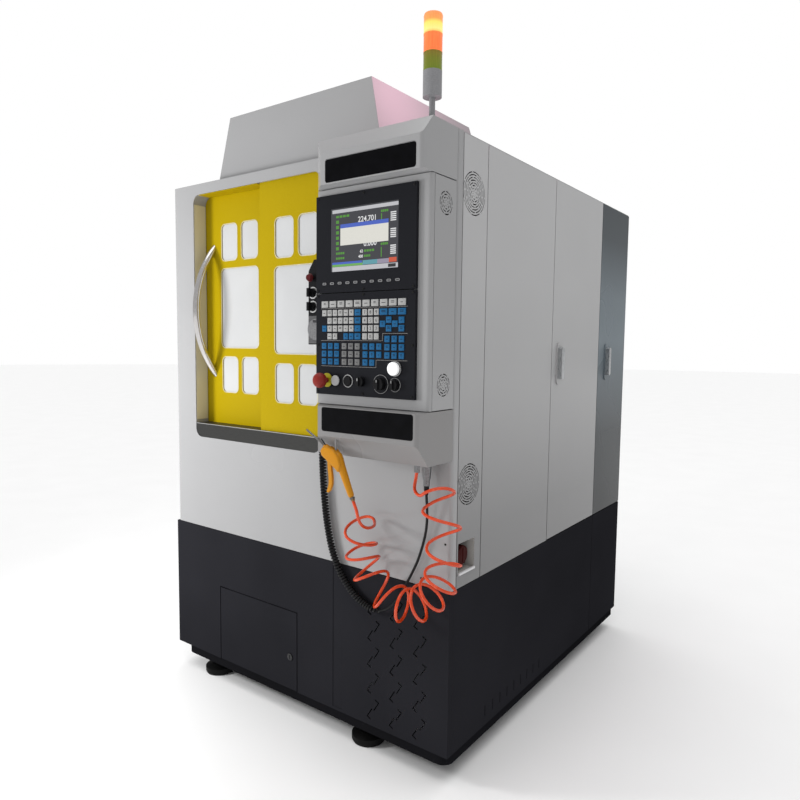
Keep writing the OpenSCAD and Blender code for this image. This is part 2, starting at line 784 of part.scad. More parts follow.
// Hinged access door at the foot of the base front
module access_door() {
    x0 = -hatch_left + panel_gap;
    x1 = -hatch_right - panel_gap;
    color("darkslategray") place() {
        difference() {
            union() {
                block([x0, 0, skirt_z + 2], [x1, sheet, hatch_top - panel_gap]);
                block([x1 - sheet, 0, skirt_z + 2], [x1, pan_d, hatch_top - panel_gap]);
                block([x0 + 40, 0, hatch_top - panel_gap - sheet], [x1, pan_d, hatch_top - panel_gap]);
            }
            translate([cam_x, -1, cam_z]) rotate([-90, 0, 0]) cylinder(r = 9 + run, h = sheet + 2);
        }
        for (z = hatch_hinges) hinge_knuckle(x0 + hinge_in, hinge_in, z, -90);
    }
}
cam_x = -hatch_right - 35;
cam_z = 210;

// Quarter-turn cam lock of the access door
module access_cam() {
    color("silver") place() translate([cam_x, 0, cam_z]) rotate([90, 0, 0]) {
        difference() {
            union() {
                cylinder(r = 12, h = 3);
                translate([0, 0, -pan_d]) cylinder(r = 9, h = pan_d + 1);
                block([-8, -8, -pan_d - 3], [8, 22, -pan_d + 1]);
            }
            block([-1.5, -7, 1], [1.5, 7, 4]);
        }
    }
}

// Yellow door leaf: folded pan with a running tongue and five windows
module door_leaf(left, right, y, window, drop) {
    difference() {
        union() {
            block([-left, y, leaf_low], [-right, y + leaf_t, leaf_high]);
            block([-left, y + leaf_t / 2 - tongue_t / 2, leaf_high - 1],
                [-right, y + leaf_t / 2 + tongue_t / 2, leaf_high + tongue_h]);
        }
        block([-left + sheet, y + sheet, leaf_low + sheet],
            [-right - sheet, y + leaf_t + 1, leaf_high - sheet]);
        window_cuts(window, y, drop);
    }
}
module window_cuts(window, y, drop) {
    big = big_z - drop;
    front_plate(window, window - big_w, big, big + big_h, y - 1, y + sheet + 1, window_r);
    for (z = [low_window_z - drop, top_window_z - drop], x = [window - 3, window - big_w + 3 + small_w])
        front_plate(x, x - small_w, z, z + small_h, y - 1, y + sheet + 1, window_r);
}
module leaf_pane(window, y, drop) {
    margin = 7;
    block([-window - margin, y + sheet, low_window_z - drop - 20],
        [-window + big_w + margin, y + sheet + pane_t, top_window_z - drop + small_h + 20]);
}
module door_leaf_left() {
    color("gold") place() door_leaf(leaf1_left, leaf1_right, leaf_y, leaf1_window, 0);
}
module door_leaf_right() {
    color("gold") place() door_leaf(leaf2_left, leaf2_right, leaf2_y, leaf2_window, window2_drop);
}
module left_panes() {
    color("whitesmoke") place() leaf_pane(leaf1_window, leaf_y, 0);
}
module right_panes() {
    color("whitesmoke") place() leaf_pane(leaf2_window, leaf2_y, window2_drop);
}

// Bowed bar handle on the left leaf
module door_handle() {
    chord = handle_top - handle_low;
    bow_r = (chord * chord / 4 + handle_bow * handle_bow) / (2 * handle_bow);
    half = asin(chord / 2 / bow_r);
    color("silver") place() difference() {
        translate([-handle_x, leaf_y - handle_bow + bow_r, (handle_low + handle_top) / 2])
            rotate([90, 0, 90]) rotate([0, 0, 180 - half - 4]) rotate_extrude(angle = 2 * half + 8, $fn = 96)
                translate([bow_r, 0]) circle(handle_d / 2, $fn = 32);
        block([-handle_x - handle_d, leaf_y, handle_low - 60],
            [-handle_x + handle_d, leaf_y + 60, handle_top + 60]);
    }
}

// Plan outline of a console box with a bevelled left end and a round right corner
module console_plan(depth, bevel) {
    polygon([[0, 0], [-con_w, 0], [-con_w, -mid_d], [-con_w + bevel, -depth], [-con_r, -depth],
        [-con_r, -depth + con_r], [0, -depth + con_r]]);
    translate([-con_r, -depth + con_r]) circle(con_r);
}

// Middle box of the console, open behind the control panel and at its right side, with the pendant's hook
module console_body() {
    z0 = mid_z + con_gap / 2;
    z1 = head_z - con_gap / 2;
    lip = 8;
    rim = 14;
    color("gainsboro") place() {
        block([-con_w - pen_gap + clear, pen_y - 14, pen_z + 100], [-con_w + 1, pen_y + 14, pen_z + 180]);
        difference() {
            translate([0, 0, z0]) linear_extrude(z1 - z0) console_plan(mid_d, 0);
            block([-con_w + con_wall, -mid_d + con_wall, z0 + con_wall], [-con_wall - lip, 1, z1 - con_wall]);
            block([-panel_right - panel_w + rim, -mid_d - 1, panel_low + rim],
                [-panel_right - rim, -mid_d + con_wall + 1, panel_top - rim]);
            block([-con_wall, -mid_d + con_r, z0 - 1], [1, 1, z1 + 1]);
            block([-con_wall - lip - 1, -mid_d + con_r + lip, z0 + lip], [1, 1, z1 - lip]);
        }
    }
}

// Right side plate of the console with two round vents
module console_side_panel() {
    vent_y = -53;
    vent_z = [mid_z + 69, head_z - 68];
    color("gainsboro") place() difference() {
        block([-con_wall, -mid_d + con_r + con_gap, mid_z + con_gap], [0, -con_gap, head_z - con_gap]);
        for (z = vent_z) vent_slots(vent_y, z, side_vent_r, 7);
    }
}

// Header box of the console with the bevelled top and the field of its plate
module console_header() {
    z0 = head_z + con_gap / 2;
    color("gainsboro") place() difference() {
        intersection() {
            translate([0, 0, z0]) linear_extrude(cab_h - z0) console_plan(head_d, end_bevel);
            rotate([90, 0, -90]) linear_extrude(con_w)
                polygon([[0, z0], [head_d, z0], [head_d, head_break], [mid_d, cab_h], [0, cab_h]]);
        }
        front_plate(plate_right + plate_w, plate_right, z0 + 4, z0 + 4 + plate_h, -head_d - 1,
            -head_d + plate_in, 8);
        block([-con_w + end_bevel, -mid_d + con_wall, z0 + con_wall],
            [-con_r - con_wall, 1, cab_h - con_wall]);
    }
}

// Lower box of the console with the bevelled underside, the field of its plate and the gun's peg
module console_lower() {
    z1 = mid_z - con_gap / 2;
    color("gainsboro") place() {
        difference() {
            intersection() {
                translate([0, 0, con_z]) linear_extrude(z1 - con_z) console_plan(low_d, end_bevel);
                rotate([90, 0, -90]) linear_extrude(con_w)
                    polygon([[0, con_z], [mid_d, con_z], [low_d, low_break], [low_d, z1], [0, z1]]);
            }
            front_plate(plate_right + plate_w, plate_right, z1 - 4 - plate_h, z1 - 4, -low_d - 1,
                -low_d + plate_in, 8);
            block([-con_w + end_bevel, -mid_d + con_wall, con_z + con_wall],
                [-con_r - con_wall, 1, z1 - con_wall]);
        }
        translate([gun_peg[0], -gun_y, gun_peg[1]]) cylinder(r = 3, h = 40);
    }
}

// Upper half of the control panel: frame of the screen with a row of soft keys
module display_unit() {
    soft_keys = 10;
    soft_z = panel_split + 27;
    soft_pitch = 29.4;
    color("darkslategray") place() {
        difference() {
            block([-panel_right - panel_w, -panel_y, panel_split + con_gap / 2],
                [-panel_right, -mid_d, panel_top]);
            block([-screen_right - screen_w, -panel_y - 1, screen_low],
                [-screen_right, -panel_y + glass_t + 1, screen_low + screen_h]);
        }
        for (i = [0:soft_keys - 1])
            front_plate(screen_right + 8 + i * soft_pitch, screen_right - 8 + i * soft_pitch, soft_z - 4,
                soft_z + 4, -panel_y - 1, -panel_y + 1, 3.9);
    }
}

// Glass of the screen, set a little below the frame
module screen_glass() {
    color("midnightblue") place()
        block([-screen_right - screen_w + clear, -panel_y + 1, screen_low + clear],
            [-screen_right - clear, -panel_y + 1 + glass_t, screen_low + screen_h - clear]);
}

// One key whose middle is x to the left of the right side
module key(x, z, w, h) {
    block([-x - w / 2, -panel_y - key_up, z - h / 2], [-x + w / 2, -panel_y + 1, z + h / 2]);
}

// Bore for a button's stem, and raised rings round buttons and knobs
module button_bore(x, z, r) {
    on_panel(x, z) translate([0, 0, -panel_t - 1]) cylinder(r = r + clear, h = panel_t + 10);
}
module button_ring(x, z, r, h) {
    on_panel(x, z) translate([0, 0, -1]) cylinder(r = r, h = h + 1);
}
estop_x = 353;
start_x = 317;
hold_x = 273;
mode_x = 224;
feed_x = 154;
spindle_x = 105;
lamp_x = 104;
lamp_z = button_z + 40;
stem_r = 7;

// Lower half of the control panel with the keys and the rings of the buttons
module keyboard_panel() {
    col_pitch = 20.6;
    row_pitch = 22.3;
    low_pitch = 24.3;
    edit_left = 364;
    edit_top = panel_split - 57;
    low_left = 365;
    low_top = panel_split - 152;
    color("darkslategray") place() difference() {
        union() {
            block([-panel_right - panel_w, -panel_y, panel_low],
                [-panel_right, -mid_d, panel_split - con_gap / 2]);
            for (i = [0:9]) key(84 + i * 30.9, edit_top + 25, 25, 18);
            for (col = [0:5], row = [0:3])
                if (row % 2 == 0 || (col > 0 && (row == 1 || col != 3)))
                    key(edit_left - col * col_pitch, edit_top - row * row_pitch, key_w, key_h);
            for (row = [0:3]) key(238, edit_top - row * row_pitch, 21, key_h);
            for (col = [0:2], row = [0:3])
                key(212 - col * col_pitch, edit_top - row * row_pitch, key_w, key_h);
            for (col = [0:2]) key(146 - col * 31, edit_top, 26, key_h);
            for (step = [[128, 22], [149, 33], [107, 33], [128, 45], [85, 23], [85, 45]])
                key(step[0], edit_top - step[1], key_w + 2, key_h);
            for (col = [0:2], row = [0:2], group = [0:2])
                if (group < 2 || row < 2 || col < 2)
                    key(low_left - group * 77.5 - col * low_pitch, low_top - row * row_pitch,
                        key_w + 1, key_h);
            for (col = [0:2], row = [0:2])
                key(133 - col * low_pitch, low_top + 21 - row * row_pitch, key_w + 1, key_h);
            button_ring(estop_x, button_z, 24, 1.5);
            button_ring(hold_x, button_z, 18, 1);
            button_ring(feed_x, button_z - 4, 26, 1);
            button_ring(spindle_x, button_z - 4, 19, 1);
            button_ring(lamp_x, lamp_z, 21, 3);
        }
        for (x = [estop_x, start_x, hold_x, mode_x]) button_bore(x, button_z, stem_r);
        for (x = [feed_x, spindle_x]) button_bore(x, button_z - 4, stem_r);
        button_bore(lamp_x, lamp_z, stem_r);
    }
}

// Stem of a button or knob through the panel
module stem(h) {
    translate([0, 0, -panel_t - 8]) cylinder(r = stem_r, h = panel_t + 8 + h);
}

// Mushroom-headed emergency stop
module estop_button() {
    color("firebrick") place() on_panel(estop_x, button_z) {
        stem(18);
        rotate_extrude() polygon([[0, 16], [12, 18], [20, 24], [22, 31], [21.5, 38], [19, 43], [14, 47],
            [7, 49.4], [0, stop_out]]);
    }
}

// Round push button with a slightly domed cap
module push_button(r, base, h) {
    stem(base + 1);
    translate([0, 0, base]) cylinder(r = r, h = h - 1.5);
    translate([0, 0, base + h - 1.5]) cylinder(r1 = r, r2 = r - 2, h = 1.5);
}
module start_button() {
    color("lightgray") place() on_panel(start_x, button_z) push_button(15, 5, 4);
}
module hold_button() {
    color("black") place() on_panel(hold_x, button_z) push_button(14, 4.4, 3);
}
module lamp_button() {
    color("white") place() on_panel(lamp_x, lamp_z) push_button(18, 7, 9);
}

// Turning knob with a grip rib across its face
module turning_knob(r, base, h) {
    stem(base + 1);
    translate([0, 0, base]) cylinder(r = r, h = h - 6);
    translate([0, 0, base + h - 7]) cylinder(r1 = r, r2 = r - 2, h = 2);
    translate([-3.5, -r + 2, base + h - 6]) cube([7, 2 * r - 4, 6]);
}
module mode_switch() {
    color("black") place() on_panel(mode_x, button_z) turning_knob(14, 1, 18);
}
module feed_knob() {
    color("black") place() on_panel(feed_x, button_z - 4) turning_knob(17, 1 + clear, 20);
}
module spindle_knob() {
    color("black") place() on_panel(spindle_x, button_z - 4) turning_knob(14, 1 + clear, 18);
}

// Flange, pole and grey foot module of the signal tower
tower_z = cab_h + pole_h;
module at_tower(z) {
    place() translate([-tower_x, -tower_y, z]) children();
}
module tower_stand() {
    flange_r = 18;
    pole_r = 8;
    color("lightgray") at_tower(cab_h) {
        cylinder(r = flange_r, h = 5);
        translate([0, 0, 4]) cylinder(r1 = flange_r - 6, r2 = pole_r, h = 10);
        cylinder(r = pole_r, h = pole_h + 1);
        translate([0, 0, pole_h]) cylinder(r = tower_d / 2, h = tower_foot_h);
    }
}
module lamp(level) {
    at_tower(tower_z + tower_foot_h + level * lamp_h) {
        cylinder(r = tower_d / 2 - 1, h = lamp_h);
        cylinder(r = tower_d / 2, h = 3);
        translate([0, 0, lamp_h - 3]) cylinder(r = tower_d / 2, h = 3);
    }
}
module tower_green() {
    color("olivedrab") lamp(0);
}
module tower_amber() {
    color("orange") lamp(1);
}
module tower_red() {
    color("orangered") {
        lamp(2);
        at_tower(tower_z + tower_foot_h + 3 * lamp_h) cylinder(r1 = tower_d / 2, r2 = tower_d / 2 - 4, h = 6);
    }
}

// Moves to the middle of the pendant's underside
pen_y = -57;
module pendant_place() {
    translate([-con_w - pen_gap - pen_w / 2, pen_y, pen_z]) children();
}
module on_pendant(x, z) {
    place() pendant_place() translate([x, -pen_d / 2, z]) rotate([90, 0, 0]) children();
}
pen_stop_at = [-18, 202];
axis_at = [-16, 157];
rate_at = [-16, 115];
wheel_at = [0, 46];

// Pendant housing with round upright edges, a gabled top and the dial rings of its two selectors
module pendant_body() {
    edge = 8;
    gable = 40;
    top_w = 24;
    color("black") {
        difference() {
            place() pendant_place() intersection() {
                translate([-pen_w / 2, -pen_d / 2, 0]) linear_extrude(pen_h) rounded(pen_w, pen_d, edge);
                translate([0, pen_d, 0]) rotate([90, 0, 0]) linear_extrude(2 * pen_d)
                    polygon([[-pen_w / 2, 0], [pen_w / 2, 0], [pen_w / 2, pen_h - gable], [top_w / 2, pen_h],
                        [-top_w / 2, pen_h], [-pen_w / 2, pen_h - gable]]);
            }
            for (at = [pen_stop_at, axis_at, rate_at, wheel_at])
                on_pendant(at[0], at[1]) translate([0, 0, -24]) cylinder(r = 4 + run, h = 34);
        }
        for (at = [axis_at, rate_at]) on_pendant(at[0], at[1]) difference() {
            translate([0, 0, -1]) cylinder(r = 18, h = 2);
            translate([0, 0, -2]) cylinder(r = 14.5, h = 4);
        }
    }
}
module pendant_stem(h) {
    translate([0, 0, -18]) cylinder(r = 4, h = 18 + h);
}
module pendant_stop() {
    color("firebrick") on_pendant(pen_stop_at[0], pen_stop_at[1]) {
        pendant_stem(10);
        translate([0, 0, 8]) cylinder(r1 = 11, r2 = 13, h = 4);
        translate([0, 0, 12]) cylinder(r1 = 13, r2 = 9, h = 8);
    }
}
module pendant_selector(at) {
    on_pendant(at[0], at[1]) {
        pendant_stem(2);
        translate([0, 0, clear]) cylinder(r = 13, h = 12);
        translate([-4, -13, 11]) cube([8, 26, 14]);
    }
}
module axis_selector() {
    color("black") pendant_selector(axis_at);
}
module rate_selector() {
    color("black") pendant_selector(rate_at);
}
module pendant_wheel() {
    crank_r = 5;
    color("gray") on_pendant(wheel_at[0], wheel_at[1]) {
        pendant_stem(2);
        translate([0, 0, clear]) cylinder(r = wheel_r, h = 7);
        translate([0, wheel_r - 9, 6]) cylinder(r = crank_r, h = 16);
    }
}

// Air gun: head and grip as one moulded shell, a steel nozzle and the hose nipple
gun_head = [-324, con_z + 29];
gun_elbow = [-278, con_z + 6];
gun_grip = [-229, con_z - 98];
gun_peg = [-286, con_z + 22 + clear];
trigger_pivot = [-300, con_z + 2];
pin_gun = 2;
module gun_ball(at, r) {
    translate([at[0], -gun_y, at[1]]) sphere(r, $fn = 24);
}
module gun_rod(from, to, r) {
    span = [to[0] - from[0], 0, to[1] - from[1]];
    translate([from[0], -gun_y, from[1]]) rotate([0, atan2(span[0], span[2]), 0])
        cylinder(r = r, h = norm(span));
}
module air_gun_body() {
    tip = [-401, con_z + 72];
    nipple = [-220, con_z - 115];
    color("orange") place() difference() {
        union() {
            hull() {
                gun_ball(gun_head, 8);
                gun_ball(gun_elbow, 13);
                gun_ball([-300, con_z + 6], 11);
            }
            hull() {
                gun_ball(gun_elbow, 13);
                gun_ball(gun_grip, 9);
            }
            gun_rod(gun_head, tip, 2.5);
            gun_rod(gun_grip, nipple, 5.5);
        }
        translate([gun_peg[0], -gun_y, gun_peg[1] - clear]) cylinder(r = 8, h = 30);
        translate([trigger_pivot[0], -gun_y - trigger_t / 2 - clear, trigger_pivot[1]]) {
            rotate([-90, 0, 0]) cylinder(r = 6, h = trigger_t + 2 * clear);
            block([-6, 0, -30], [9, trigger_t + 2 * clear, 0]);
        }
    }
    color("orange") place() translate([trigger_pivot[0], -gun_y, trigger_pivot[1]]) rotate([90, 0, 0])
        cylinder(r = pin_gun, h = trigger_t + 4, center = true);
}

// Trigger lever of the air gun, pivoted in the head
module air_gun_trigger() {
    bend = [-299, con_z - 41];
    tip = [-315, con_z - 98];
    module pad(at, r, t = trigger_t) {
        translate([at[0], -gun_y, at[1]]) rotate([90, 0, 0]) cylinder(r = r, h = t, center = true, $fn = 24);
    }
    color("orange") place() difference() {
        union() {
            hull() {
                pad(trigger_pivot, 5.5);
                pad(bend, 4);
            }
            hull() {
                pad(bend, 4);
                pad(tip, 3.5);
            }
        }
        pad(trigger_pivot, pin_gun + run, trigger_t + 2);
    }
}

// Hose nipple and cable plug under the console
module cable_glands() {
    nut = hose_route[len(hose_route) - 1];
    plug = cable_route[0];
    color("gray") place() translate([0, 0, con_z]) {
        translate(nut) cylinder(r = 9, h = -nut[2], $fn = 6);
        translate(plug) cylinder(r = 9, h = 20);
        translate([plug[0], plug[1], plug[2] + 18]) cylinder(r1 = 11, r2 = 15, h = -plug[2] - 18);
    }
}

// Curly air hose as one fat tube of its outer diameter
module air_hose() {
    color("tomato") place() translate([0, 0, con_z]) swept(hose_route, hose_radii, 12);
}

// Pendant cable: plain stretch and curly stretch of its outer diameter
module pendant_cable() {
    color("black") place() translate([0, 0, con_z]) swept(cable_route, cable_radii, 8);
}

// Cast bed on the foot rails, with the two ways of the Y slide
way = 30;
way_h = 20;
saddle_w = 400;
module machine_bed() {
    y0 = 190;
    y1 = 1080;
    color("slategray") place() {
        difference() {
            block([-mach_x - bed_w / 2 - 60, y0, plinth_top], [-mach_x + bed_w / 2 + 30, y1, bed_z]);
            for (side = [-1, 1]) translate([-mach_x - 15 + side * (bed_w / 2 + 75), 0, 0])
                block([-70, y0 - 1, plinth_top + 60], [70, y1 + 1, bed_z - 160]);
            block([-mach_x - 60, y0 - 1, bed_z - 30], [-mach_x + 60, y1 - 400, bed_z + 1]);
        }
        for (side = [-1, 1])
            block([-mach_x + side * 150 - way / 2, y0 + 20, bed_z - 1],
                [-mach_x + side * 150 + way / 2, y1 - 120, bed_z + way_h]);
    }
}

// Portal column over the bed with the two ways of the X slide
column_y = 720;
beam_top = cab_h - 235;
beam_z = beam_top - 240;
module column() {
    leg_w = 110;
    depth = 240;
    color("slategray") place() {
        difference() {
            block([-mach_x - bed_w / 2, column_y, bed_z], [-mach_x + bed_w / 2, column_y + depth, beam_top]);
            block([-mach_x - bed_w / 2 + leg_w, column_y - 1, bed_z - 1],
                [-mach_x + bed_w / 2 - leg_w, column_y + depth + 1, beam_z]);
        }
        for (z = [beam_z + 50, beam_top - 50])
            block([-mach_x - bed_w / 2 + 20, column_y - way_h, z - way / 2],
                [-mach_x + bed_w / 2 - 20, column_y + 1, z + way / 2]);
    }
}

// Saddle of the Y slide with the two bored ears of the tilt axis
module y_saddle() {
    z0 = bed_z + way_h + clear;
    ear = 50;
    half_l = 170;
    color("silver") place() difference() {
        union() {
            block([-mach_x - saddle_w / 2, table_y - half_l, z0],
                [-mach_x + saddle_w / 2, table_y + half_l, z0 + 40]);
            for (x = [-saddle_w / 2, saddle_w / 2 - ear])
                translate([-mach_x + x, table_y, tilt_z]) rotate([90, 0, 90]) linear_extrude(ear) {
                    circle(60);
                    translate([-60, z0 + 39 - tilt_z]) square([120, tilt_z - z0 - 39]);
                }
        }
        translate([-mach_x - saddle_w, table_y, tilt_z]) rotate([0, 90, 0])
            cylinder(r = tilt_r + run, h = 2 * saddle_w);
    }
}

// Tilting cradle: two arms with shafts and the platform under the table
table_z = tilt_z - 60;
module tilt_cradle() {
    half = saddle_w / 2 - 50 - 1;
    arm = 30;
    plat = 40;
    color("silver") place() translate([-mach_x, table_y, tilt_z]) {
        difference() {
            union() {
                block([-half, -70, table_z - plat - tilt_z], [half, 70, table_z - tilt_z]);
                for (x = [-half, half - arm]) translate([x, 0, 0]) rotate([90, 0, 90]) linear_extrude(arm) {
                    circle(50);
                    translate([-50, table_z - plat - tilt_z]) square([100, tilt_z - table_z + plat]);
                }
            }
            translate([0, 0, table_z - plat - tilt_z - 1]) cylinder(r = 25 + run, h = plat + 2);
        }
        for (x = [-half - 50, half - 1]) translate([x, 0, 0]) rotate([0, 90, 0]) cylinder(r = tilt_r, h = 51);
    }
}

// Rotary table with its bolt circle, turning in the cradle
module rotary_table() {
    disc = 28;
    color("silver") place() translate([-mach_x, table_y, table_z]) difference() {
        union() {
            translate([0, 0, clear]) cylinder(r = table_r, h = disc);
            translate([0, 0, -38]) cylinder(r = 25, h = 40);
        }
        for (i = [0:5]) rotate([0, 0, 60 * i]) translate([table_pcd / 2, 0, clear + disc - 20])
            cylinder(r = table_hole_r, h = 21);
        translate([0, 0, clear + disc - 12]) cylinder(r = 12.5, h = 13);
    }
}

// Carriage of the X slide
carriage_t = 60;
module x_carriage() {
    half = 90;
    color("silver") place() {
        block([-mach_x - half, column_y - way_h - clear - carriage_t, beam_z + 20],
            [-mach_x + half, column_y - way_h - clear, beam_top - 20]);
        for (x = [-50, 50])
            block([-mach_x + x - 12, column_y - way_h - clear - carriage_t - 15, beam_z - 60],
                [-mach_x + x + 12, column_y - way_h - clear - carriage_t + 1, beam_top + 60]);
    }
}

// Spindle head of the Z slide with the bore of the spindle
head_low = beam_z - 100;
head_high = beam_top + 20;
module z_head() {
    back = column_y - way_h - carriage_t - 15 - 2 * clear;
    color("gainsboro") place() difference() {
        union() {
            block([-mach_x - 70, back - 60, head_low + 40], [-mach_x + 70, back, head_high]);
            block([-mach_x - 60, table_y, head_low + 40], [-mach_x + 60, back - 59, head_high - 60]);
            translate([-mach_x, table_y, head_low]) cylinder(r = 60, h = head_high - 60 - head_low);
        }
        translate([-mach_x, table_y, head_low - 1]) cylinder(r = spindle_r + run, h = 201);
    }
}

// Spindle with its collet nut and tool bore
module spindle() {
    nose = 80;
    color("silver") place() translate([-mach_x, table_y, head_low - nose]) difference() {
        union() {
            translate([0, 0, nose]) cylinder(r = spindle_r, h = 199);
            translate([0, 0, 30]) cylinder(r = spindle_r - 4, h = nose - 29);
            cylinder(r1 = 14, r2 = 20, h = 12);
            translate([0, 0, 12]) cylinder(r = 20, h = 19);
        }
        translate([0, 0, -1]) cylinder(r = collet_r, h = collet_l + 1);
    }
}

levelling_feet();
cabinet_frame();
base_front();
base_skirt();
front_panel();
sill_plate();
roof_hood();
post_panel();
middle_panel();
left_panel();
back_panel();
service_door();
service_lever();
rear_door();
rear_lever();
main_switch();
access_door();
access_cam();
door_leaf_left();
left_panes();
door_handle();
door_leaf_right();
right_panes();
console_body();
console_header();
console_lower();
console_side_panel();
display_unit();
screen_glass();
keyboard_panel();
estop_button();
start_button();
hold_button();
mode_switch();
feed_knob();
spindle_knob();
lamp_button();
tower_stand();
tower_green();
tower_amber();
tower_red();
pendant_body();
pendant_stop();
axis_selector();
rate_selector();
pendant_wheel();
air_gun_body();
air_gun_trigger();
cable_glands();
air_hose();
pendant_cable();
machine_bed();
column();
y_saddle();
tilt_cradle();
rotary_table();
x_carriage();
z_head();
spindle();
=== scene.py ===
import math

import bmesh
import bpy
from mathutils import Matrix, Vector


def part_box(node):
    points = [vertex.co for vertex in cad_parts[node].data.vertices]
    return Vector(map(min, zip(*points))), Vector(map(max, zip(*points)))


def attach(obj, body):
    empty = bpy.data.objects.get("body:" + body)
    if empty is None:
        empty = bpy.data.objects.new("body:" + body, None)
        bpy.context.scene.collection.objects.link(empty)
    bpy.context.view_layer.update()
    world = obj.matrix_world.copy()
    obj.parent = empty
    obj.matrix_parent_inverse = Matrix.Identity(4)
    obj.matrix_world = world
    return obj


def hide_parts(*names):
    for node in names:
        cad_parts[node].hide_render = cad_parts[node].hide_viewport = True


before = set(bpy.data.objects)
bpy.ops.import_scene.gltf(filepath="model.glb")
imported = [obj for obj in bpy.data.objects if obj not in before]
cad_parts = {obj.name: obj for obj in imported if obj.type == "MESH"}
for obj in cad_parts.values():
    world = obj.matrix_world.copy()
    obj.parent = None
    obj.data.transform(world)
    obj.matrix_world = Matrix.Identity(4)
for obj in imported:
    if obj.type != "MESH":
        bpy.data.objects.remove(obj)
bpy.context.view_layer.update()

# Viewpoint: a camera on a stand in front of the machine's right corner, at the photograph's angle.
# Places are in millimetres: x from the machine's right side, y from its front sheet, z from the floor.
right_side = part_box("middle_panel")[1].x
front_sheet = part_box("base_front")[0].y


def at(x, y, z):
    return Vector((right_side + x / 1000, front_sheet + y / 1000, z / 1000))


camera_yaw = math.radians(36.467)
camera_pitch = math.radians(4.692)
camera_roll = math.radians(0.645)
camera_data = bpy.data.cameras.new("viewpoint")
camera_data.lens = 29.785
camera = bpy.data.objects.new("viewpoint", camera_data)
camera.matrix_world = (
    Matrix.Translation(at(969.35, -1560.84, 1289.31))
    @ Matrix.Rotation(camera_yaw, 4, "Z")
    @ Matrix.Rotation(math.pi / 2 - camera_pitch, 4, "X")
    @ Matrix.Rotation(camera_roll, 4, "Z")
)
bpy.context.scene.collection.objects.link(camera)
bpy.context.scene.camera = camera

# Studio: a pale painted floor in a white surround, an even light from the ceiling, and one lamp at the
# front left that throws the door's shadows. The picture keeps plain tones, as a photograph does.
bpy.context.scene.view_settings.view_transform = "Standard"


def new_finish(name, tint, rough, metal=0.0, shine=0.5):
    finish = bpy.data.materials.new(name)
    finish.use_nodes = True
    shader = finish.node_tree.nodes["Principled BSDF"]
    shader.inputs["Base Color"].default_value = (*tint, 1.0)
    shader.inputs["Roughness"].default_value = rough
    shader.inputs["Metallic"].default_value = metal
    shader.inputs["Specular IOR Level"].default_value = shine
    return finish


def grain(finish, scale, detail=2.0, stretch=(1.0, 1.0, 1.0)):
    tree = finish.node_tree
    place = tree.nodes.new("ShaderNodeTexCoord")
    mapping = tree.nodes.new("ShaderNodeMapping")
    mapping.inputs["Scale"].default_value = stretch
    noise = tree.nodes.new("ShaderNodeTexNoise")
    noise.inputs["Scale"].default_value = scale
    noise.inputs["Detail"].default_value = detail
    tree.links.new(place.outputs["Object"], mapping.inputs["Vector"])
    tree.links.new(mapping.outputs["Vector"], noise.inputs["Vector"])
    return noise.outputs["Fac"]


def shade(finish, source, dark, light, low=0.3, high=0.7):
    tree = finish.node_tree
    ramp = tree.nodes.new("ShaderNodeValToRGB")
    ramp.color_ramp.elements[0].position = low
    ramp.color_ramp.elements[0].color = (*dark, 1.0)
    ramp.color_ramp.elements[1].position = high
    ramp.color_ramp.elements[1].color = (*light, 1.0)
    tree.links.new(source, ramp.inputs["Fac"])
    tree.links.new(ramp.outputs["Color"], tree.nodes["Principled BSDF"].inputs["Base Color"])


def gloss(finish, source, low, high):
    tree = finish.node_tree
    span = tree.nodes.new("ShaderNodeMapRange")
    span.inputs["From Min"].default_value = 0.3
    span.inputs["From Max"].default_value = 0.7
    span.inputs["To Min"].default_value = low
    span.inputs["To Max"].default_value = high
    tree.links.new(source, span.inputs["Value"])
    tree.links.new(span.outputs["Result"], tree.nodes["Principled BSDF"].inputs["Roughness"])


def relief(finish, source, depth, edge=0.0):
    tree = finish.node_tree
    bump = tree.nodes.new("ShaderNodeBump")
    bump.inputs["Distance"].default_value = depth
    tree.links.new(source, bump.inputs["Height"])
    tree.links.new(bump.outputs["Normal"], tree.nodes["Principled BSDF"].inputs["Normal"])
    if edge:
        worn = tree.nodes.new("ShaderNodeBevel")
        worn.samples = 4
        worn.inputs["Radius"].default_value = edge
        tree.links.new(worn.outputs["Normal"], bump.inputs["Normal"])


floor_paint = new_finish("floor_paint", (0.9, 0.9, 0.9), 0.6)
shade(floor_paint, grain(floor_paint, 3.0), (0.95, 0.95, 0.95), (0.97, 0.97, 0.97))
floor_shape = bmesh.new()
bmesh.ops.create_circle(floor_shape, cap_ends=True, radius=40.0, segments=96)
floor_mesh = bpy.data.meshes.new("floor")
floor_shape.to_mesh(floor_mesh)
floor_shape.free()
floor_mesh.materials.append(floor_paint)
floor = bpy.data.objects.new("floor", floor_mesh)
bpy.context.scene.collection.objects.link(floor)

surround = bpy.data.worlds.new("surround")
surround.use_nodes = True
surround_tree = surround.node_tree
backdrop = surround_tree.nodes["Background"]
backdrop.inputs["Color"].default_value = (1.0, 1.0, 1.0, 1.0)
backdrop_view = surround_tree.nodes.new("ShaderNodeLightPath")
backdrop_level = surround_tree.nodes.new("ShaderNodeMapRange")
backdrop_level.inputs["To Min"].default_value = 0.5
backdrop_level.inputs["To Max"].default_value = 1.0
surround_tree.links.new(backdrop_view.outputs["Is Camera Ray"], backdrop_level.inputs["Value"])
surround_tree.links.new(backdrop_level.outputs["Result"], backdrop.inputs["Strength"])
bpy.context.scene.world = surround


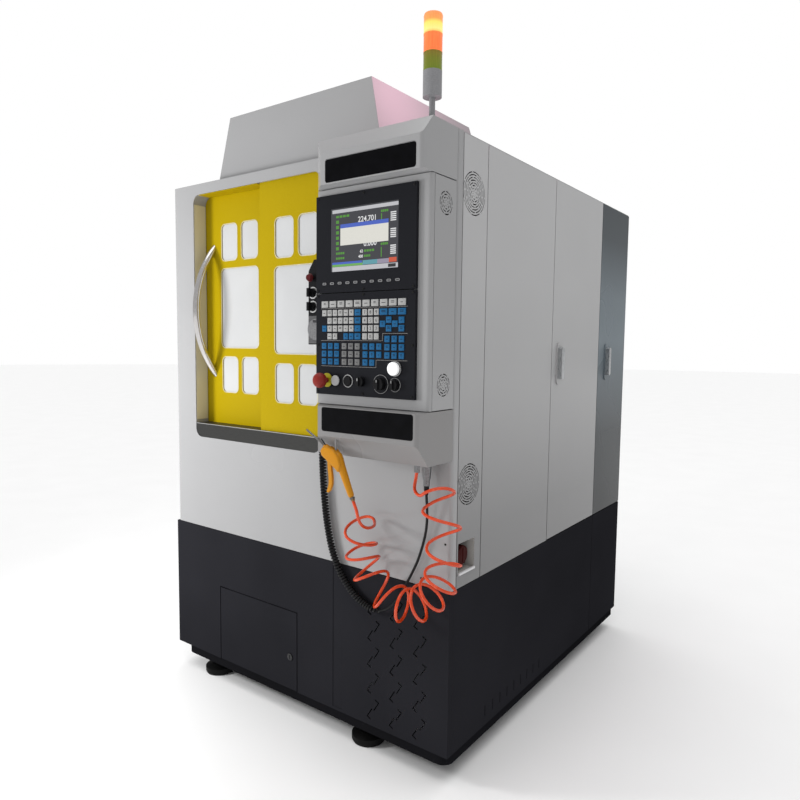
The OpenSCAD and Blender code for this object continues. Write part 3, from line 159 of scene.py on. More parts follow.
def studio_light(name, kind, place, aim, power):
    data = bpy.data.lights.new(name, kind)
    data.energy = power
    light = bpy.data.objects.new(name, data)
    light.location = place
    light.rotation_euler = (aim - place).to_track_quat("-Z", "Y").to_euler()
    bpy.context.scene.collection.objects.link(light)
    return data


key_lamp = studio_light("key_lamp", "AREA", at(-1960, -1210, 1225), at(-660, 90, 1250), 28.0)
key_lamp.shape = "DISK"
key_lamp.size = 0.5
bpy.data.objects["key_lamp"].visible_glossy = False
ceiling = studio_light("ceiling", "SUN", at(-640, 700, 5000), at(-640, 720, 0), 1.7)
ceiling.angle = math.radians(70)

# Levelling feet: turned steel studs with lock nuts, each in a moulded black rubber pad.
# The pads are vulcanised to the studs, which screw up into the plinth's foot rails.


def dress(finish, *names):
    for name in names:
        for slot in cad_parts[name].material_slots:
            slot.material = finish


foot_rubber = new_finish("foot_rubber", (0.004, 0.004, 0.004), 0.7, shine=0.15)
rubber_grain = grain(foot_rubber, 220.0)
shade(foot_rubber, rubber_grain, (0.002, 0.002, 0.002), (0.007, 0.007, 0.007))
gloss(foot_rubber, rubber_grain, 0.55, 0.8)
relief(foot_rubber, rubber_grain, 0.0004, 0.001)
dress(foot_rubber, "levelling_feet")

# Tube frame, dark base front, skirt and access door: folded steel sheet and square tubes with a
# charcoal powder coat, matt with a fine orange peel. The sheets are screwed on from inside.


def powder_coat(name, dark, light, rough, peel, shine=0.5, edge=0.0012):
    finish = new_finish(name, light, rough, shine=shine)
    cloud = grain(finish, 2.2)
    skin = grain(finish, 340.0, 1.0)
    shade(finish, cloud, dark, light)
    gloss(finish, cloud, rough - 0.04, rough + 0.06)
    relief(finish, skin, peel, edge)
    return finish


charcoal_coat = powder_coat("charcoal_coat", (0.017, 0.017, 0.02), (0.022, 0.022, 0.026), 0.5, 0.00003, 0.0)
frame_coat = powder_coat("frame_coat", (0.008, 0.008, 0.009), (0.011, 0.011, 0.013), 0.5, 0.0001, 0.0)
dress(charcoal_coat, "base_front", "base_skirt", "access_door")
dress(frame_coat, "cabinet_frame")

# White sheets: front with the door opening, post, middle and left panels, roof with its hood, service
# door and console boxes, all folded steel with a pale grey-white powder coat. The side sheets carry a
# lighter copy of the coat as painted light, with painted shade darkening them towards the floor. The
# lower console box has a darker copy of the coat as painted shade. The rear door's blue-grey coat is
# multiplied by painted sheen and shade, lightest at mid height, and the back has a blue-grey coat.


def by_height(finish, stops):
    tree = finish.node_tree
    place = tree.nodes.new("ShaderNodeTexCoord")
    parts = tree.nodes.new("ShaderNodeSeparateXYZ")
    rise = tree.nodes.new("ShaderNodeMapRange")
    foot, top = stops[0][0], stops[-1][0]
    rise.inputs["From Min"].default_value = foot / 1000
    rise.inputs["From Max"].default_value = top / 1000
    ramp = tree.nodes.new("ShaderNodeValToRGB")
    marks = ramp.color_ramp.elements
    marks[0].color = (*stops[0][1], 1.0)
    marks[1].color = (*stops[-1][1], 1.0)
    for height, tint in stops[1:-1]:
        marks.new((height - foot) / (top - foot)).color = (*tint, 1.0)
    tree.links.new(place.outputs["Object"], parts.inputs["Vector"])
    tree.links.new(parts.outputs["Z"], rise.inputs["Value"])
    tree.links.new(rise.outputs["Result"], ramp.inputs["Fac"])
    return ramp.outputs["Color"]


# Multiplies a coat's colour by a ramp over height: painted light and painted shade.
def paint_light_and_shade_by_height(finish, shares):
    tree = finish.node_tree
    shader = tree.nodes["Principled BSDF"]
    mix = tree.nodes.new("ShaderNodeMix")
    mix.data_type = "RGBA"
    mix.blend_type = "MULTIPLY"
    mix.inputs["Factor"].default_value = 1.0
    coat = shader.inputs["Base Color"].links[0].from_socket
    tree.links.new(coat, mix.inputs[6])
    tree.links.new(by_height(finish, [(height, (share,) * 3) for height, share in shares]), mix.inputs[7])
    tree.links.new(mix.outputs[2], shader.inputs["Base Color"])


white_coat = powder_coat("white_coat", (0.325, 0.325, 0.33), (0.345, 0.345, 0.35), 0.22, 0.00003, 0.45)
dress(white_coat, "front_panel", "roof_hood", "console_body", "console_header", "console_side_panel")
# The side sheets take a lighter copy of the white coat as painted light, darkened towards the floor by
# painted shade.
side_coat_painted_light_and_shade = powder_coat("side_coat_painted_light_and_shade", (0.455, 0.455, 0.46), (0.475, 0.475, 0.48), 0.22, 0.00003, 0.45)
paint_light_and_shade_by_height(side_coat_painted_light_and_shade, [(620, 0.38), (740, 0.43), (1075, 0.72), (1300, 0.9), (1500, 0.98), (1870, 1.0)])
dress(side_coat_painted_light_and_shade, "post_panel", "middle_panel", "left_panel", "service_door")
# The rear door's coat carries painted sheen, lightest at mid height, and painted shade, darkest near the
# floor and the top.
rear_coat_painted_sheen_and_shade = powder_coat("rear_coat_painted_sheen_and_shade", (0.175, 0.21, 0.235), (0.195, 0.23, 0.255), 0.3, 0.00003, 0.15)
paint_light_and_shade_by_height(rear_coat_painted_sheen_and_shade, [(620, 0.08), (930, 0.2), (1130, 0.6), (1320, 1.0), (1500, 0.9), (1740, 0.36), (1870, 0.3)])
dress(rear_coat_painted_sheen_and_shade, "rear_door")
back_coat = powder_coat("back_coat", (0.055, 0.065, 0.074), (0.068, 0.08, 0.09), 0.3, 0.00003, 0.2)
dress(back_coat, "back_panel")
# The lower console box takes a darker copy of the white coat as painted shade.
console_coat_painted_shade = powder_coat("console_coat_painted_shade", (0.23, 0.225, 0.225), (0.25, 0.245, 0.245), 0.3, 0.00003, 0.3)
dress(console_coat_painted_shade, "console_lower")

# Sill: folded stainless sheet with a dull brushed face, laid in the foot of the opening. A thin strip of
# bright steel along its top front edge is a painted highlight.


def brushed(name, dark, light, rough, stretch, edge=0.0008):
    finish = new_finish(name, light, rough, 1.0)
    lines = grain(finish, 90.0, 3.0, stretch)
    shade(finish, lines, dark, light)
    gloss(finish, lines, rough - 0.08, rough + 0.1)
    relief(finish, lines, 0.00006, edge)
    return finish


stainless = brushed("stainless", (0.075, 0.075, 0.073), (0.105, 0.105, 0.102), 0.5, (0.4, 6.0, 6.0))
dress(stainless, "sill_plate")


def add_block(shape, low, high):
    a = at(*low)
    b = at(*high)
    place = Matrix.Translation((a + b) / 2) @ Matrix.Diagonal((b - a).to_4d())
    return bmesh.ops.create_cube(shape, size=1.0, matrix=place)["verts"]


def edges_along(verts, axis):
    edges = {edge for vert in verts for edge in vert.link_edges}
    return [e for e in edges if abs((e.verts[0].co - e.verts[1].co).normalized()[axis]) > 0.99]


def soften(shape, edges, by, segments=2):
    bmesh.ops.bevel(
        shape, geom=edges, offset=by / 1000, offset_type="OFFSET", segments=segments,
        profile=0.5, affect="EDGES", material=-1, clamp_overlap=True,
    )


def piece(name, shape, finish, body):
    mesh = bpy.data.meshes.new(name)
    bmesh.ops.recalc_face_normals(shape, faces=shape.faces[:])
    shape.to_mesh(mesh)
    shape.free()
    mesh.polygons.foreach_set("use_smooth", [True] * len(mesh.polygons))
    mesh.set_sharp_from_angle(angle=math.radians(35))
    mesh.materials.append(finish)
    made = bpy.data.objects.new(name, mesh)
    bpy.context.scene.collection.objects.link(made)
    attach(made, body)
    return made


# Bright steel strip on the sill's top front edge: a painted highlight.
sill_highlight_steel = brushed("sill_highlight_steel", (0.5, 0.5, 0.49), (0.66, 0.66, 0.65), 0.3, (0.4, 6.0, 6.0))
highlight_shape = bmesh.new()
add_block(highlight_shape, (-1150, 0.6, 986), (-507, 3, 988.4))
piece("sill_edge_highlight", highlight_shape, sill_highlight_steel, "machine")

# Sliding door: two folded steel leaves with a yellow coat that has a fine light speckle, and a yellow
# cover over the left leaf's track. Milky acrylic panes are glued behind the windows, each with a pale
# seal round its edge, and a bent polished bar is the handle.
yellow_coat = new_finish("yellow_coat", (0.4, 0.29, 0.003), 0.5, shine=0.1)
speckle = grain(yellow_coat, 900.0, 1.0)
shade(yellow_coat, speckle, (0.37, 0.265, 0.001), (0.42, 0.305, 0.003), 0.45, 0.62)
gloss(yellow_coat, grain(yellow_coat, 3.0), 0.46, 0.54)
relief(yellow_coat, speckle, 0.0001, 0.001)
dress(yellow_coat, "door_leaf_left", "door_leaf_right")
cover_shape = bmesh.new()
add_block(cover_shape, (-1122, 3, 1834.4), (-804, 54, 1836.6))
piece("track_cover", cover_shape, yellow_coat, "machine")
# A thin cream sheet on the left jamb is painted light, its cream tint a painted reflection of the yellow
# leaves.
jamb_cream_painted_light = powder_coat("jamb_cream_painted_light", (0.62, 0.57, 0.4), (0.66, 0.61, 0.44), 0.4, 0.00003, 0.3)
jamb_light_shape = bmesh.new()
add_block(jamb_light_shape, (-1151.8, 3, 1000), (-1151, 54, 1805))
piece("jamb_painted_light_sheet", jamb_light_shape, jamb_cream_painted_light, "machine")


window_r = 18
big_w = 203
small_w = 86
small_h = 132
seal_w = 2.4


def rounded(left, right, low, high, radius):
    spots = []
    for x, z, start in ((right, high, 0), (left, high, 1), (left, low, 2), (right, low, 3)):
        mid_x = x - radius if x == right else x + radius
        mid_z = z - radius if z == high else z + radius
        for step in range(9):
            turn = (start + step / 8) * math.pi / 2
            spots.append((mid_x + radius * math.cos(turn), mid_z + radius * math.sin(turn)))
    return spots


def add_rim(shape, left, right, low, high, face):
    front = face - 0.5
    back = face + 0.4
    inner = rounded(left, right, low, high, window_r)
    outer = rounded(left - seal_w, right + seal_w, low - seal_w, high + seal_w, window_r + seal_w)
    loops = [
        [shape.verts.new(at(x, y, z)) for x, z in spots]
        for spots, y in ((inner, back), (inner, front), (outer, front), (outer, back))
    ]
    for near, far in zip(loops, loops[1:] + loops[:1]):
        for i in range(len(near)):
            shape.faces.new((near[i - 1], near[i], far[i], far[i - 1]))


seal_cream = new_finish("seal_cream", (0.6, 0.57, 0.4), 0.5, shine=0.2)
shade(seal_cream, grain(seal_cream, 60.0), (0.54, 0.51, 0.34), (0.62, 0.59, 0.42))
for leaf, window, drop, leaf_face in (("left_leaf", -1064, 0, 57), ("right_leaf", -727, 17, 11)):
    rims = [(window, window + big_w, 1275, 1567)]
    for low in (1108, 1597):
        for left in (window + 3, window + 114):
            rims.append((left, left + small_w, low, low + small_h))
    rim_shape = bmesh.new()
    for left, right, low, high in rims:
        add_rim(rim_shape, left, right, low - drop, high - drop, leaf_face)
    piece(leaf + "_seals", rim_shape, seal_cream, leaf)


def light_up(finish, tint, strength):
    shader = finish.node_tree.nodes["Principled BSDF"]
    shader.inputs["Emission Color"].default_value = (*tint, 1.0)
    shader.inputs["Emission Strength"].default_value = strength


frosted_pane = new_finish("frosted_pane", (0.6, 0.61, 0.62), 0.14, shine=0.3)
pane_cloud = grain(frosted_pane, 5.0)
shade(frosted_pane, pane_cloud, (0.47, 0.475, 0.48), (0.51, 0.515, 0.52))
gloss(frosted_pane, pane_cloud, 0.1, 0.18)
# The panes' faint emission is painted glow.
light_up(frosted_pane, (0.95, 0.98, 1.0), 0.04)
dress(frosted_pane, "left_panes", "right_panes")

polished_steel = brushed("polished_steel", (0.62, 0.6, 0.59), (0.74, 0.72, 0.71), 0.16, (6.0, 6.0, 0.5))
dress(polished_steel, "door_handle")

# Door locks: die-cast swing levers with a satin chrome finish on the two side doors, and the
# quarter-turn lock of the access door.
lock_metal = brushed("lock_metal", (0.4, 0.41, 0.42), (0.55, 0.56, 0.57), 0.3, (5.0, 5.0, 0.6))
dress(lock_metal, "service_lever", "rear_lever")
cam_metal = brushed("cam_metal", (0.03, 0.03, 0.031), (0.07, 0.07, 0.072), 0.4, (4.0, 4.0, 4.0))
dress(cam_metal, "access_cam")

# Main switch: a moulded dark red knob with a low grip rib on the switch's shaft, in a pocket of the
# post panel. The pocket is a folded box; thin pale grey sheets on its walls are painted light, and its
# folded lip at the foot carries a painted highlight.


def moulded(name, dark, light, rough, shine=0.4, bump=0.00004, edge=0.0006):
    finish = new_finish(name, light, rough, shine=shine)
    skin = grain(finish, 420.0, 2.0)
    shade(finish, skin, dark, light)
    gloss(finish, skin, rough - 0.05, rough + 0.08)
    relief(finish, skin, bump, edge)
    return finish


switch_red = moulded("switch_red", (0.034, 0.003, 0.003), (0.05, 0.005, 0.004), 0.5, 0.06)
dress(switch_red, "main_switch")


def add_lathe(shape, profile, place, steps=48):
    before = set(shape.verts)
    verts = [shape.verts.new((radius / 1000, 0.0, height / 1000)) for radius, height in profile]
    edges = [shape.edges.new(pair) for pair in zip(verts, verts[1:])]
    bmesh.ops.spin(
        shape, geom=verts + edges, cent=(0, 0, 0), axis=(0, 0, 1), dvec=(0, 0, 0), angle=math.tau,
        steps=steps, use_merge=True,
    )
    bmesh.ops.remove_doubles(shape, verts=[v for v in shape.verts if v not in before], dist=1e-6)
    bmesh.ops.transform(shape, matrix=place, verts=[v for v in shape.verts if v not in before])


pocket_y = 86
pocket_z = 676
knob_shape = bmesh.new()
knob_foot = Matrix.Translation(at(-48.2, pocket_y, pocket_z)) @ Matrix.Rotation(math.pi / 2, 4, "Y")
add_lathe(knob_shape, [(0, 0), (24, 0), (29, 2), (29, 33), (27.6, 36.5), (23, 38), (0, 38.6)], knob_foot)
rib_low = (-12, pocket_y - 4, pocket_z - 22)
rib_high = (-8, pocket_y + 4, pocket_z + 22)
rib_verts = add_block(knob_shape, rib_low, rib_high)
soften(knob_shape, list({edge for vert in rib_verts for edge in vert.link_edges}), 2.0, 3)
switch_knob = piece("switch_knob", knob_shape, switch_red, "main_switch")
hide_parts("main_switch")
# The lip's coat is far lighter than the panel round it: a painted highlight.
lip_white_painted_highlight = powder_coat("lip_white_painted_highlight", (0.6, 0.6, 0.61), (0.66, 0.66, 0.67), 0.3, 0.00003)
lip_shape = bmesh.new()
soften(lip_shape, edges_along(add_block(lip_shape, (-2, 42, 628), (5, 131, 635)), 1), 1.0)
piece("pocket_lip", lip_shape, lip_white_painted_highlight, "machine")
# Pale grey sheets on the pocket's four walls: painted light in the shaded pocket.
pocket_grey_painted_light = powder_coat("pocket_grey_painted_light", (0.43, 0.42, 0.4), (0.47, 0.46, 0.44), 0.4, 0.00003, 0.2)
wall_in = 45.4
wall_out = 45.8
pocket_light_shape = bmesh.new()
for y0, y1, z0, z1 in (
    (wall_in, wall_out, -wall_in, wall_in), (-wall_out, -wall_in, -wall_in, wall_in),
    (-wall_out, wall_out, -wall_out, -wall_in), (-wall_out, wall_out, wall_in, wall_out),
):
    add_block(
        pocket_light_shape, (-46.8, pocket_y + y0, pocket_z + z0), (-0.4, pocket_y + y1, pocket_z + z1)
    )
piece("pocket_painted_light_walls", pocket_light_shape, pocket_grey_painted_light, "machine")

# Console plates: two glossy black acrylic plates, glued into the fields of the header and lower box
# and left bare.
gloss_black = new_finish("gloss_black", (0.003, 0.003, 0.004), 0.06, shine=0.05)
gloss(gloss_black, grain(gloss_black, 12.0), 0.04, 0.09)
shade(gloss_black, grain(gloss_black, 30.0), (0.0025, 0.0025, 0.003), (0.004, 0.004, 0.005))
for plate_name, plate_y, left, right, low, high in (
    ("header_plate", -165, -331, -21, 1740, 1803),
    ("lower_plate", -174, -335, -13, 1043, 1112),
):
    plate_shape = bmesh.new()
    plate_verts = add_block(plate_shape, (left, plate_y - 0.6, low), (right, plate_y + 1.5, high))
    soften(plate_shape, edges_along(plate_verts, 1), 7.5, 6)
    soften(plate_shape, [e for e in plate_shape.edges if len(e.link_faces) == 2], 0.3, 1)
    piece(plate_name, plate_shape, gloss_black, "machine")

# Control panel: display frame and keyboard of dark anodised sheet with a matt coat, screwed to the
# console from inside.
panel_dark = moulded("panel_dark", (0.009, 0.0095, 0.012), (0.013, 0.0135, 0.017), 0.5, 0.12)
dress(panel_dark, "display_unit", "keyboard_panel")

# Panel screws and soft keys: black socket screws round both halves of the panel, and ten grey rubber
# keys under the screen, each pressed into a slot of the frame.
panel_face = -131
soft_grey = moulded("soft_grey", (0.17, 0.17, 0.175), (0.24, 0.24, 0.245), 0.5)
soft_dark = moulded("soft_dark", (0.04, 0.04, 0.043), (0.06, 0.06, 0.064), 0.5)
for soft_name, finish, half_w, half_h, rise in (
    ("soft_keys", soft_grey, 7.6, 3.6, 0.6), ("soft_caps", soft_dark, 4.4, 1.6, 0.8),
):
    soft_shape = bmesh.new()
    for i in range(10):
        soft_x = -100 - i * 29.4
        low = (soft_x - half_w, panel_face - rise, 1465 - half_h)
        high = (soft_x + half_w, panel_face + 0.6, 1465 + half_h)
        soften(soft_shape, edges_along(add_block(soft_shape, low, high), 1), half_h - 0.1, 5)
    piece(soft_name, soft_shape, finish, "machine")


def facing_front(x, y, z):
    return Matrix.Translation(at(x, y, z)) @ Matrix.Rotation(math.pi / 2, 4, "X")


screw_black = moulded("screw_black", (0.003, 0.003, 0.003), (0.006, 0.006, 0.006), 0.35, 0.3)
screw_head = [(0, 1.2), (1.4, 1.2), (1.6, 1.7), (2.6, 1.5), (3.2, 0.8), (3.2, 0.0), (0, 0.0)]
screw_shape = bmesh.new()
for screw_z in (1707, 1446, 1430, 1290, 1153):
    for screw_x in (-390, -219, -49) if screw_z != 1290 else (-390, -49):
        add_lathe(screw_shape, screw_head, facing_front(screw_x, panel_face, screw_z), 20)
for screw_x, screw_z in ((-18, 727), (-100, 611)):
    add_lathe(screw_shape, screw_head, facing_front(screw_x, 0, screw_z), 20)
piece("panel_screws", screw_shape, screw_black, "machine")

# Screen: a glass front, clamped in the display frame from inside, over a lit picture of plain colour
# fields and read-out numbers.
screen_glass = new_finish("screen_glass", (0.02, 0.021, 0.024), 0.12)
gloss(screen_glass, grain(screen_glass, 8.0), 0.1, 0.16)
light_up(screen_glass, (0.06, 0.06, 0.07), 0.5)
dress(screen_glass, "screen_glass")

screen_left = -336
screen_low = 1496
screen_w = 235
screen_h = 175
screen_y = -129


def lit(name, tint, strength):
    finish = new_finish(name, tint, 0.25)
    tree = finish.node_tree
    shader = tree.nodes["Principled BSDF"]
    rows = grain(finish, 700.0, 1.0, (0.2, 0.2, 3.0))
    ramp = tree.nodes.new("ShaderNodeValToRGB")
    ramp.color_ramp.elements[0].color = (*(0.85 * c for c in tint), 1.0)
    ramp.color_ramp.elements[1].color = (*tint, 1.0)
    tree.links.new(rows, ramp.inputs["Fac"])
    tree.links.new(ramp.outputs["Color"], shader.inputs["Emission Color"])
    shader.inputs["Base Color"].default_value = (0.02, 0.02, 0.02, 1.0)
    shader.inputs["Emission Strength"].default_value = strength
    return finish


def screen_field(shape, left, right, low, high, layer=1):
    add_block(
        shape,
        (screen_left + left * screen_w, screen_y - 0.12 * layer, screen_low + low * screen_h),
        (screen_left + right * screen_w, screen_y + 0.1, screen_low + high * screen_h),
    )


def add_words(shape, words, place, size, side, bold=0.0):
    curve = bpy.data.curves.new("words", "FONT")
    curve.body = words
    curve.align_x = side
    curve.offset = bold
    curve.size = size
    curve.extrude = 0.00005
    carrier = bpy.data.objects.new("words", curve)
    bpy.context.scene.collection.objects.link(carrier)
    outline = bpy.data.meshes.new_from_object(carrier)
    outline.transform(place)
    shape.from_mesh(outline)
    bpy.data.objects.remove(carrier)
    bpy.data.curves.remove(curve)
    bpy.data.meshes.remove(outline)


screen_fields = {
    "screen_pale": ((0.52, 0.52, 0.55), 1, [(0, 1, 0.945, 1), (0, 1, 0, 0.085)]),
    "screen_blue": ((0.05, 0.11, 0.52), 2, [(0, 0.47, 0.125, 0.16), (0.13, 0.86, 0.698, 0.76)]),
    "screen_lime": ((0.14, 0.4, 0.08), 1, [(0, 0.48, 0.088, 0.125)]),
    "screen_teal": ((0.1, 0.32, 0.38), 1, [(0.48, 0.7, 0.092, 0.16)]),
    "screen_mauve": ((0.3, 0.27, 0.36), 1, [(0.7, 0.87, 0.092, 0.16)]),
    "screen_orange": ((0.6, 0.08, 0.03), 1, [(0.87, 0.98, 0.1, 0.17)]),
    "screen_white": ((0.74, 0.73, 0.67), 2, [(0.13, 0.86, 0.425, 0.698)]),
    "screen_black": ((0.01, 0.01, 0.012), 2, [(0.86, 0.97, 0.025, 0.075)]),
}
for field_name, (tint, layer, fields) in screen_fields.items():
    field_shape = bmesh.new()
    for field in fields:
        screen_field(field_shape, *field, layer)
    piece(field_name, field_shape, lit(field_name, tint, 1.0), "machine")

green_shape = bmesh.new()
for row in range(6):
    screen_field(green_shape, 0.06, 0.105, 0.78 - row * 0.085, 0.83 - row * 0.085)
for left, right, low in ((0.06, 0.28, 0.87), (0.06, 0.2, 0.285), (0.06, 0.2, 0.205), (0.5, 0.66, 0.29),
                         (0.5, 0.6, 0.21), (0.75, 0.86, 0.87), (0.75, 0.86, 0.37)):
    for part in range(4):
        step = (right - left) / 4
        screen_field(green_shape, left + part * step, left + (part + 0.8) * step, low, low + 0.035)
for low, high in ((0.73, 0.85), (0.19, 0.34)):
    screen_field(green_shape, 0.752, 0.765, low, high)
piece("screen_green", green_shape, lit("screen_green", (0.07, 0.28, 0.02), 1.0), "machine")

number_shape = bmesh.new()
for words, right, low, height in (
    ("224.701", 0.69, 0.765, 0.085), ("0.000", 0.69, 0.38, 0.085), ("62", 0.485, 0.285, 0.045),
    ("400", 0.485, 0.205, 0.045),
):
    words_foot = facing_front(screen_left + right * screen_w, screen_y - 0.15, screen_low + low * screen_h)
    add_words(number_shape, words, words_foot, height / 1000 * screen_h * 1.4, "RIGHT", 0.0003)
for block_low in (0.72, 0.47, 0.22):
    for row in range(5):
        screen_field(number_shape, 0.89, 0.97, block_low + row * 0.03, block_low + row * 0.03 + 0.018)
number_white = lit("screen_numbers", (0.75, 0.75, 0.76), 1.0)
piece("screen_numbers", number_shape, number_white, "machine")

# Keys: moulded caps in white, blue and grey over the raised pads of the keyboard, each with a short
# printed mark, and digits on the number block.
key_face = -132.6
key_seat = -129.8
key_pitch = 20.6
row_pitch = 22.3
block_pitch = 24.3
edit_left = -364
edit_top = 1381
block_top = 1286
white_keys = [(-84 - i * 30.9, 1406, 25, 18) for i in range(10)]
blue_keys = [(-238, edit_top - row * row_pitch, 21, 17) for row in range(4)]
grey_keys = []
digit_keys = []
for row in range(4):
    for col in range(6):
        place = (edit_left + col * key_pitch, edit_top - row * row_pitch, 16, 17)
        if (row, col) in ((1, 0), (3, 0), (3, 3)):
            continue
        blue = (row, col) == (2, 0) or (row == 3 and col > 3)
        (blue_keys if blue else white_keys).append(place)
    for col in range(3):
        digit_keys.append((-212 + col * key_pitch, edit_top - row * row_pitch, 16, 17))
for col in range(3):
    blue_keys.append((-146 + col * 31, edit_top, 26, 17))
for x, z in ((-128, 1359), (-149, 1348), (-107, 1348), (-128, 1336), (-85, 1358), (-85, 1336)):
    blue_keys.append((x, z, 18, 17))
for row in range(3):
    for col in range(3):
        blue_keys.append((-365 + col * block_pitch, block_top - row * row_pitch, 17, 17))
        grey_keys.append((-287.5 + col * block_pitch, block_top - row * row_pitch, 17, 17))
        if row < 2 or col < 2:
            blue_keys.append((-210 + col * block_pitch, block_top - row * row_pitch, 17, 17))
        blue_keys.append((-133 + col * block_pitch, block_top + 21 - row * row_pitch, 17, 17))


def key_caps(name, places, finish):
    shape = bmesh.new()
    for x, z, width, height in places:
        add_block(
            shape,
            (x - width / 2 - 0.3, key_face, z - height / 2 - 0.3),
            (x + width / 2 + 0.3, key_seat, z + height / 2 + 0.3),
        )
    soften(shape, shape.edges[:], 1.0)
    piece(name, shape, finish, "machine")


def key_marks(name, places, finish):
    shape = bmesh.new()
    for turn, (x, z, width, height) in enumerate(places):
        half = width * (0.16 + 0.06 * (turn % 3))
        for line in range(1 + turn % 2):
            low = z - 1.2 + line * 3.6
            add_block(shape, (x - half, key_face - 0.06, low), (x + half, key_face + 0.1, low + 1.6))
    piece(name, shape, finish, "machine")


key_white = moulded("key_white", (0.33, 0.33, 0.325), (0.4, 0.4, 0.395), 0.45, 0.2)
key_blue = moulded("key_blue", (0.008, 0.085, 0.21), (0.014, 0.12, 0.27), 0.4, 0.2)
key_grey = moulded("key_grey", (0.13, 0.13, 0.13), (0.18, 0.18, 0.18), 0.45, 0.2)
key_print = moulded("key_print", (0.012, 0.012, 0.016), (0.02, 0.02, 0.026), 0.5, 0.1)
key_caps("keys_white", white_keys + digit_keys, key_white)
key_caps("keys_blue", blue_keys, key_blue)
key_caps("keys_grey", grey_keys, key_grey)
key_marks("key_marks", white_keys + blue_keys + grey_keys, key_print)

digit_shape = bmesh.new()
for (x, z, width, height), words in zip(digit_keys, "789456123-0."):
    add_words(digit_shape, words, facing_front(x, key_face - 0.06, z - 4.6), 0.013, "CENTER")
piece("key_digits", digit_shape, key_print, "machine")

# Printed lines of the keyboard: thin pale outlines round the key groups, screen-printed on the
# coated sheet.
line_print = moulded("line_print", (0.3, 0.29, 0.28), (0.4, 0.39, 0.38), 0.5)
line_shape = bmesh.new()
line_runs = (
    [(-378, 1302), (-150, 1302), (-150, 1322), (-66, 1322)],
    [(-378, 1228), (-172, 1228), (-172, 1249), (-66, 1249)],
    [(-378, 1394), (-66, 1394)],
)
for run in line_runs:
    for (x0, z0), (x1, z1) in zip(run, run[1:]):
        add_block(
            line_shape,
            (min(x0, x1) - 0.4, -130.15, min(z0, z1) - 0.4),
            (max(x0, x1) + 0.4, -129.9, max(z0, z1) + 0.4),
        )
piece("key_group_lines", line_shape, line_print, "machine")

# Buttons and knobs: moulded heads on stems through the keyboard, with turned rings, printed dial
# rings and white pointers.
stop_red = moulded("stop_red", (0.19, 0.015, 0.011), (0.25, 0.021, 0.015), 0.38, 0.25)
button_grey = moulded("button_grey", (0.42, 0.42, 0.42), (0.5, 0.5, 0.5), 0.4)
knob_black = moulded("knob_black", (0.004, 0.004, 0.005), (0.008, 0.008, 0.009), 0.4, 0.2)
lamp_white = moulded("lamp_white", (0.85, 0.86, 0.86), (0.92, 0.93, 0.93), 0.3)
light_up(lamp_white, (1.0, 1.0, 1.0), 0.3)
pendant_red = moulded("pendant_red", (0.06, 0.005, 0.007), (0.09, 0.007, 0.01), 0.4, 0.2)
dress(stop_red, "estop_button")
dress(pendant_red, "pendant_stop")
dress(button_grey, "start_button")
dress(knob_black, "hold_button", "mode_switch", "feed_knob", "spindle_knob", "axis_selector", "rate_selector")
dress(lamp_white, "lamp_button")


def button_ring(name, x, z, inner, outer, rise, finish):
    shape = bmesh.new()
    profile = [
        (inner, 0.1), (outer, 0.1), (outer, rise - 0.4), (outer - 0.4, rise), (inner, rise), (inner, 0.1),
    ]
    add_lathe(shape, profile, facing_front(x, panel_face, z))
    piece(name, shape, finish, "machine")


ring_yellow = moulded("ring_yellow", (0.27, 0.24, 0.005), (0.34, 0.3, 0.01), 0.4)
ring_chrome = brushed("ring_chrome", (0.3, 0.3, 0.3), (0.42, 0.42, 0.42), 0.26, (3.0, 3.0, 3.0))
ring_white = moulded("ring_white", (0.5, 0.5, 0.5), (0.6, 0.6, 0.6), 0.4)
dial_print = moulded("dial_print", (0.24, 0.24, 0.24), (0.32, 0.32, 0.32), 0.5)
button_z = 1187
dial_z = 1183
feed_x = -154
override_x = -105
button_ring("stop_ring", -353, button_z, 7.6, 20.6, 1.9, ring_yellow)
button_ring("hold_ring", -273, button_z, 16.4, 18.2, 1.4, ring_white)
button_ring("lamp_ring", -104, 1227, 18.4, 21.2, 3.6, ring_chrome)
button_ring("feed_dial", feed_x, dial_z, 25.0, 26.2, 1.3, dial_print)
button_ring("spindle_dial", override_x, dial_z, 18.0, 19.2, 1.3, dial_print)

for pointer_name, body, x, half, face, low, high in (
    ("mode_pointer", "mode_switch", -224, 1.0, -149.2, 1189, 1197),
    ("feed_pointer", "feed_knob", feed_x, 0.7, -151.5, 1188, 1195),
    ("spindle_pointer", "spindle_knob", override_x, 0.7, -149.5, 1188, 1195),
):
    pointer_shape = bmesh.new()
    add_block(pointer_shape, (x - half, face, low), (x + half, face + 0.4, high))
    piece(pointer_name, pointer_shape, ring_white, body)

# Signal tower: a cast flange and steel tube carry a grey foot module and three lens modules, each a
# moulded ring with fine ribs inside. The top one is lit, and a small lamp throws its glow on the hood.
tower_grey = moulded("tower_grey", (0.22, 0.22, 0.23), (0.28, 0.28, 0.29), 0.36)
dress(tower_grey, "tower_stand")
tower_x = -35
tower_y = -75
lens_h = 52


def lens_finish(name, dark, light, foot, glow, strength):
    finish = new_finish(name, light, 0.2)
    ribs = grain(finish, 60.0, 1.0, (6.0, 6.0, 0.4))
    shade(finish, ribs, dark, light)
    relief(finish, ribs, 0.0004)
    shader = finish.node_tree.nodes["Principled BSDF"]
    stops = [(foot + share * lens_h, tint) for share, tint in glow]
    finish.node_tree.links.new(by_height(finish, stops), shader.inputs["Emission Color"])
    shader.inputs["Emission Strength"].default_value = strength
    shader.inputs["Coat Weight"].default_value = 0.3
    return finish


green_foot = 2003
amber_foot = 2049
red_foot = 2095
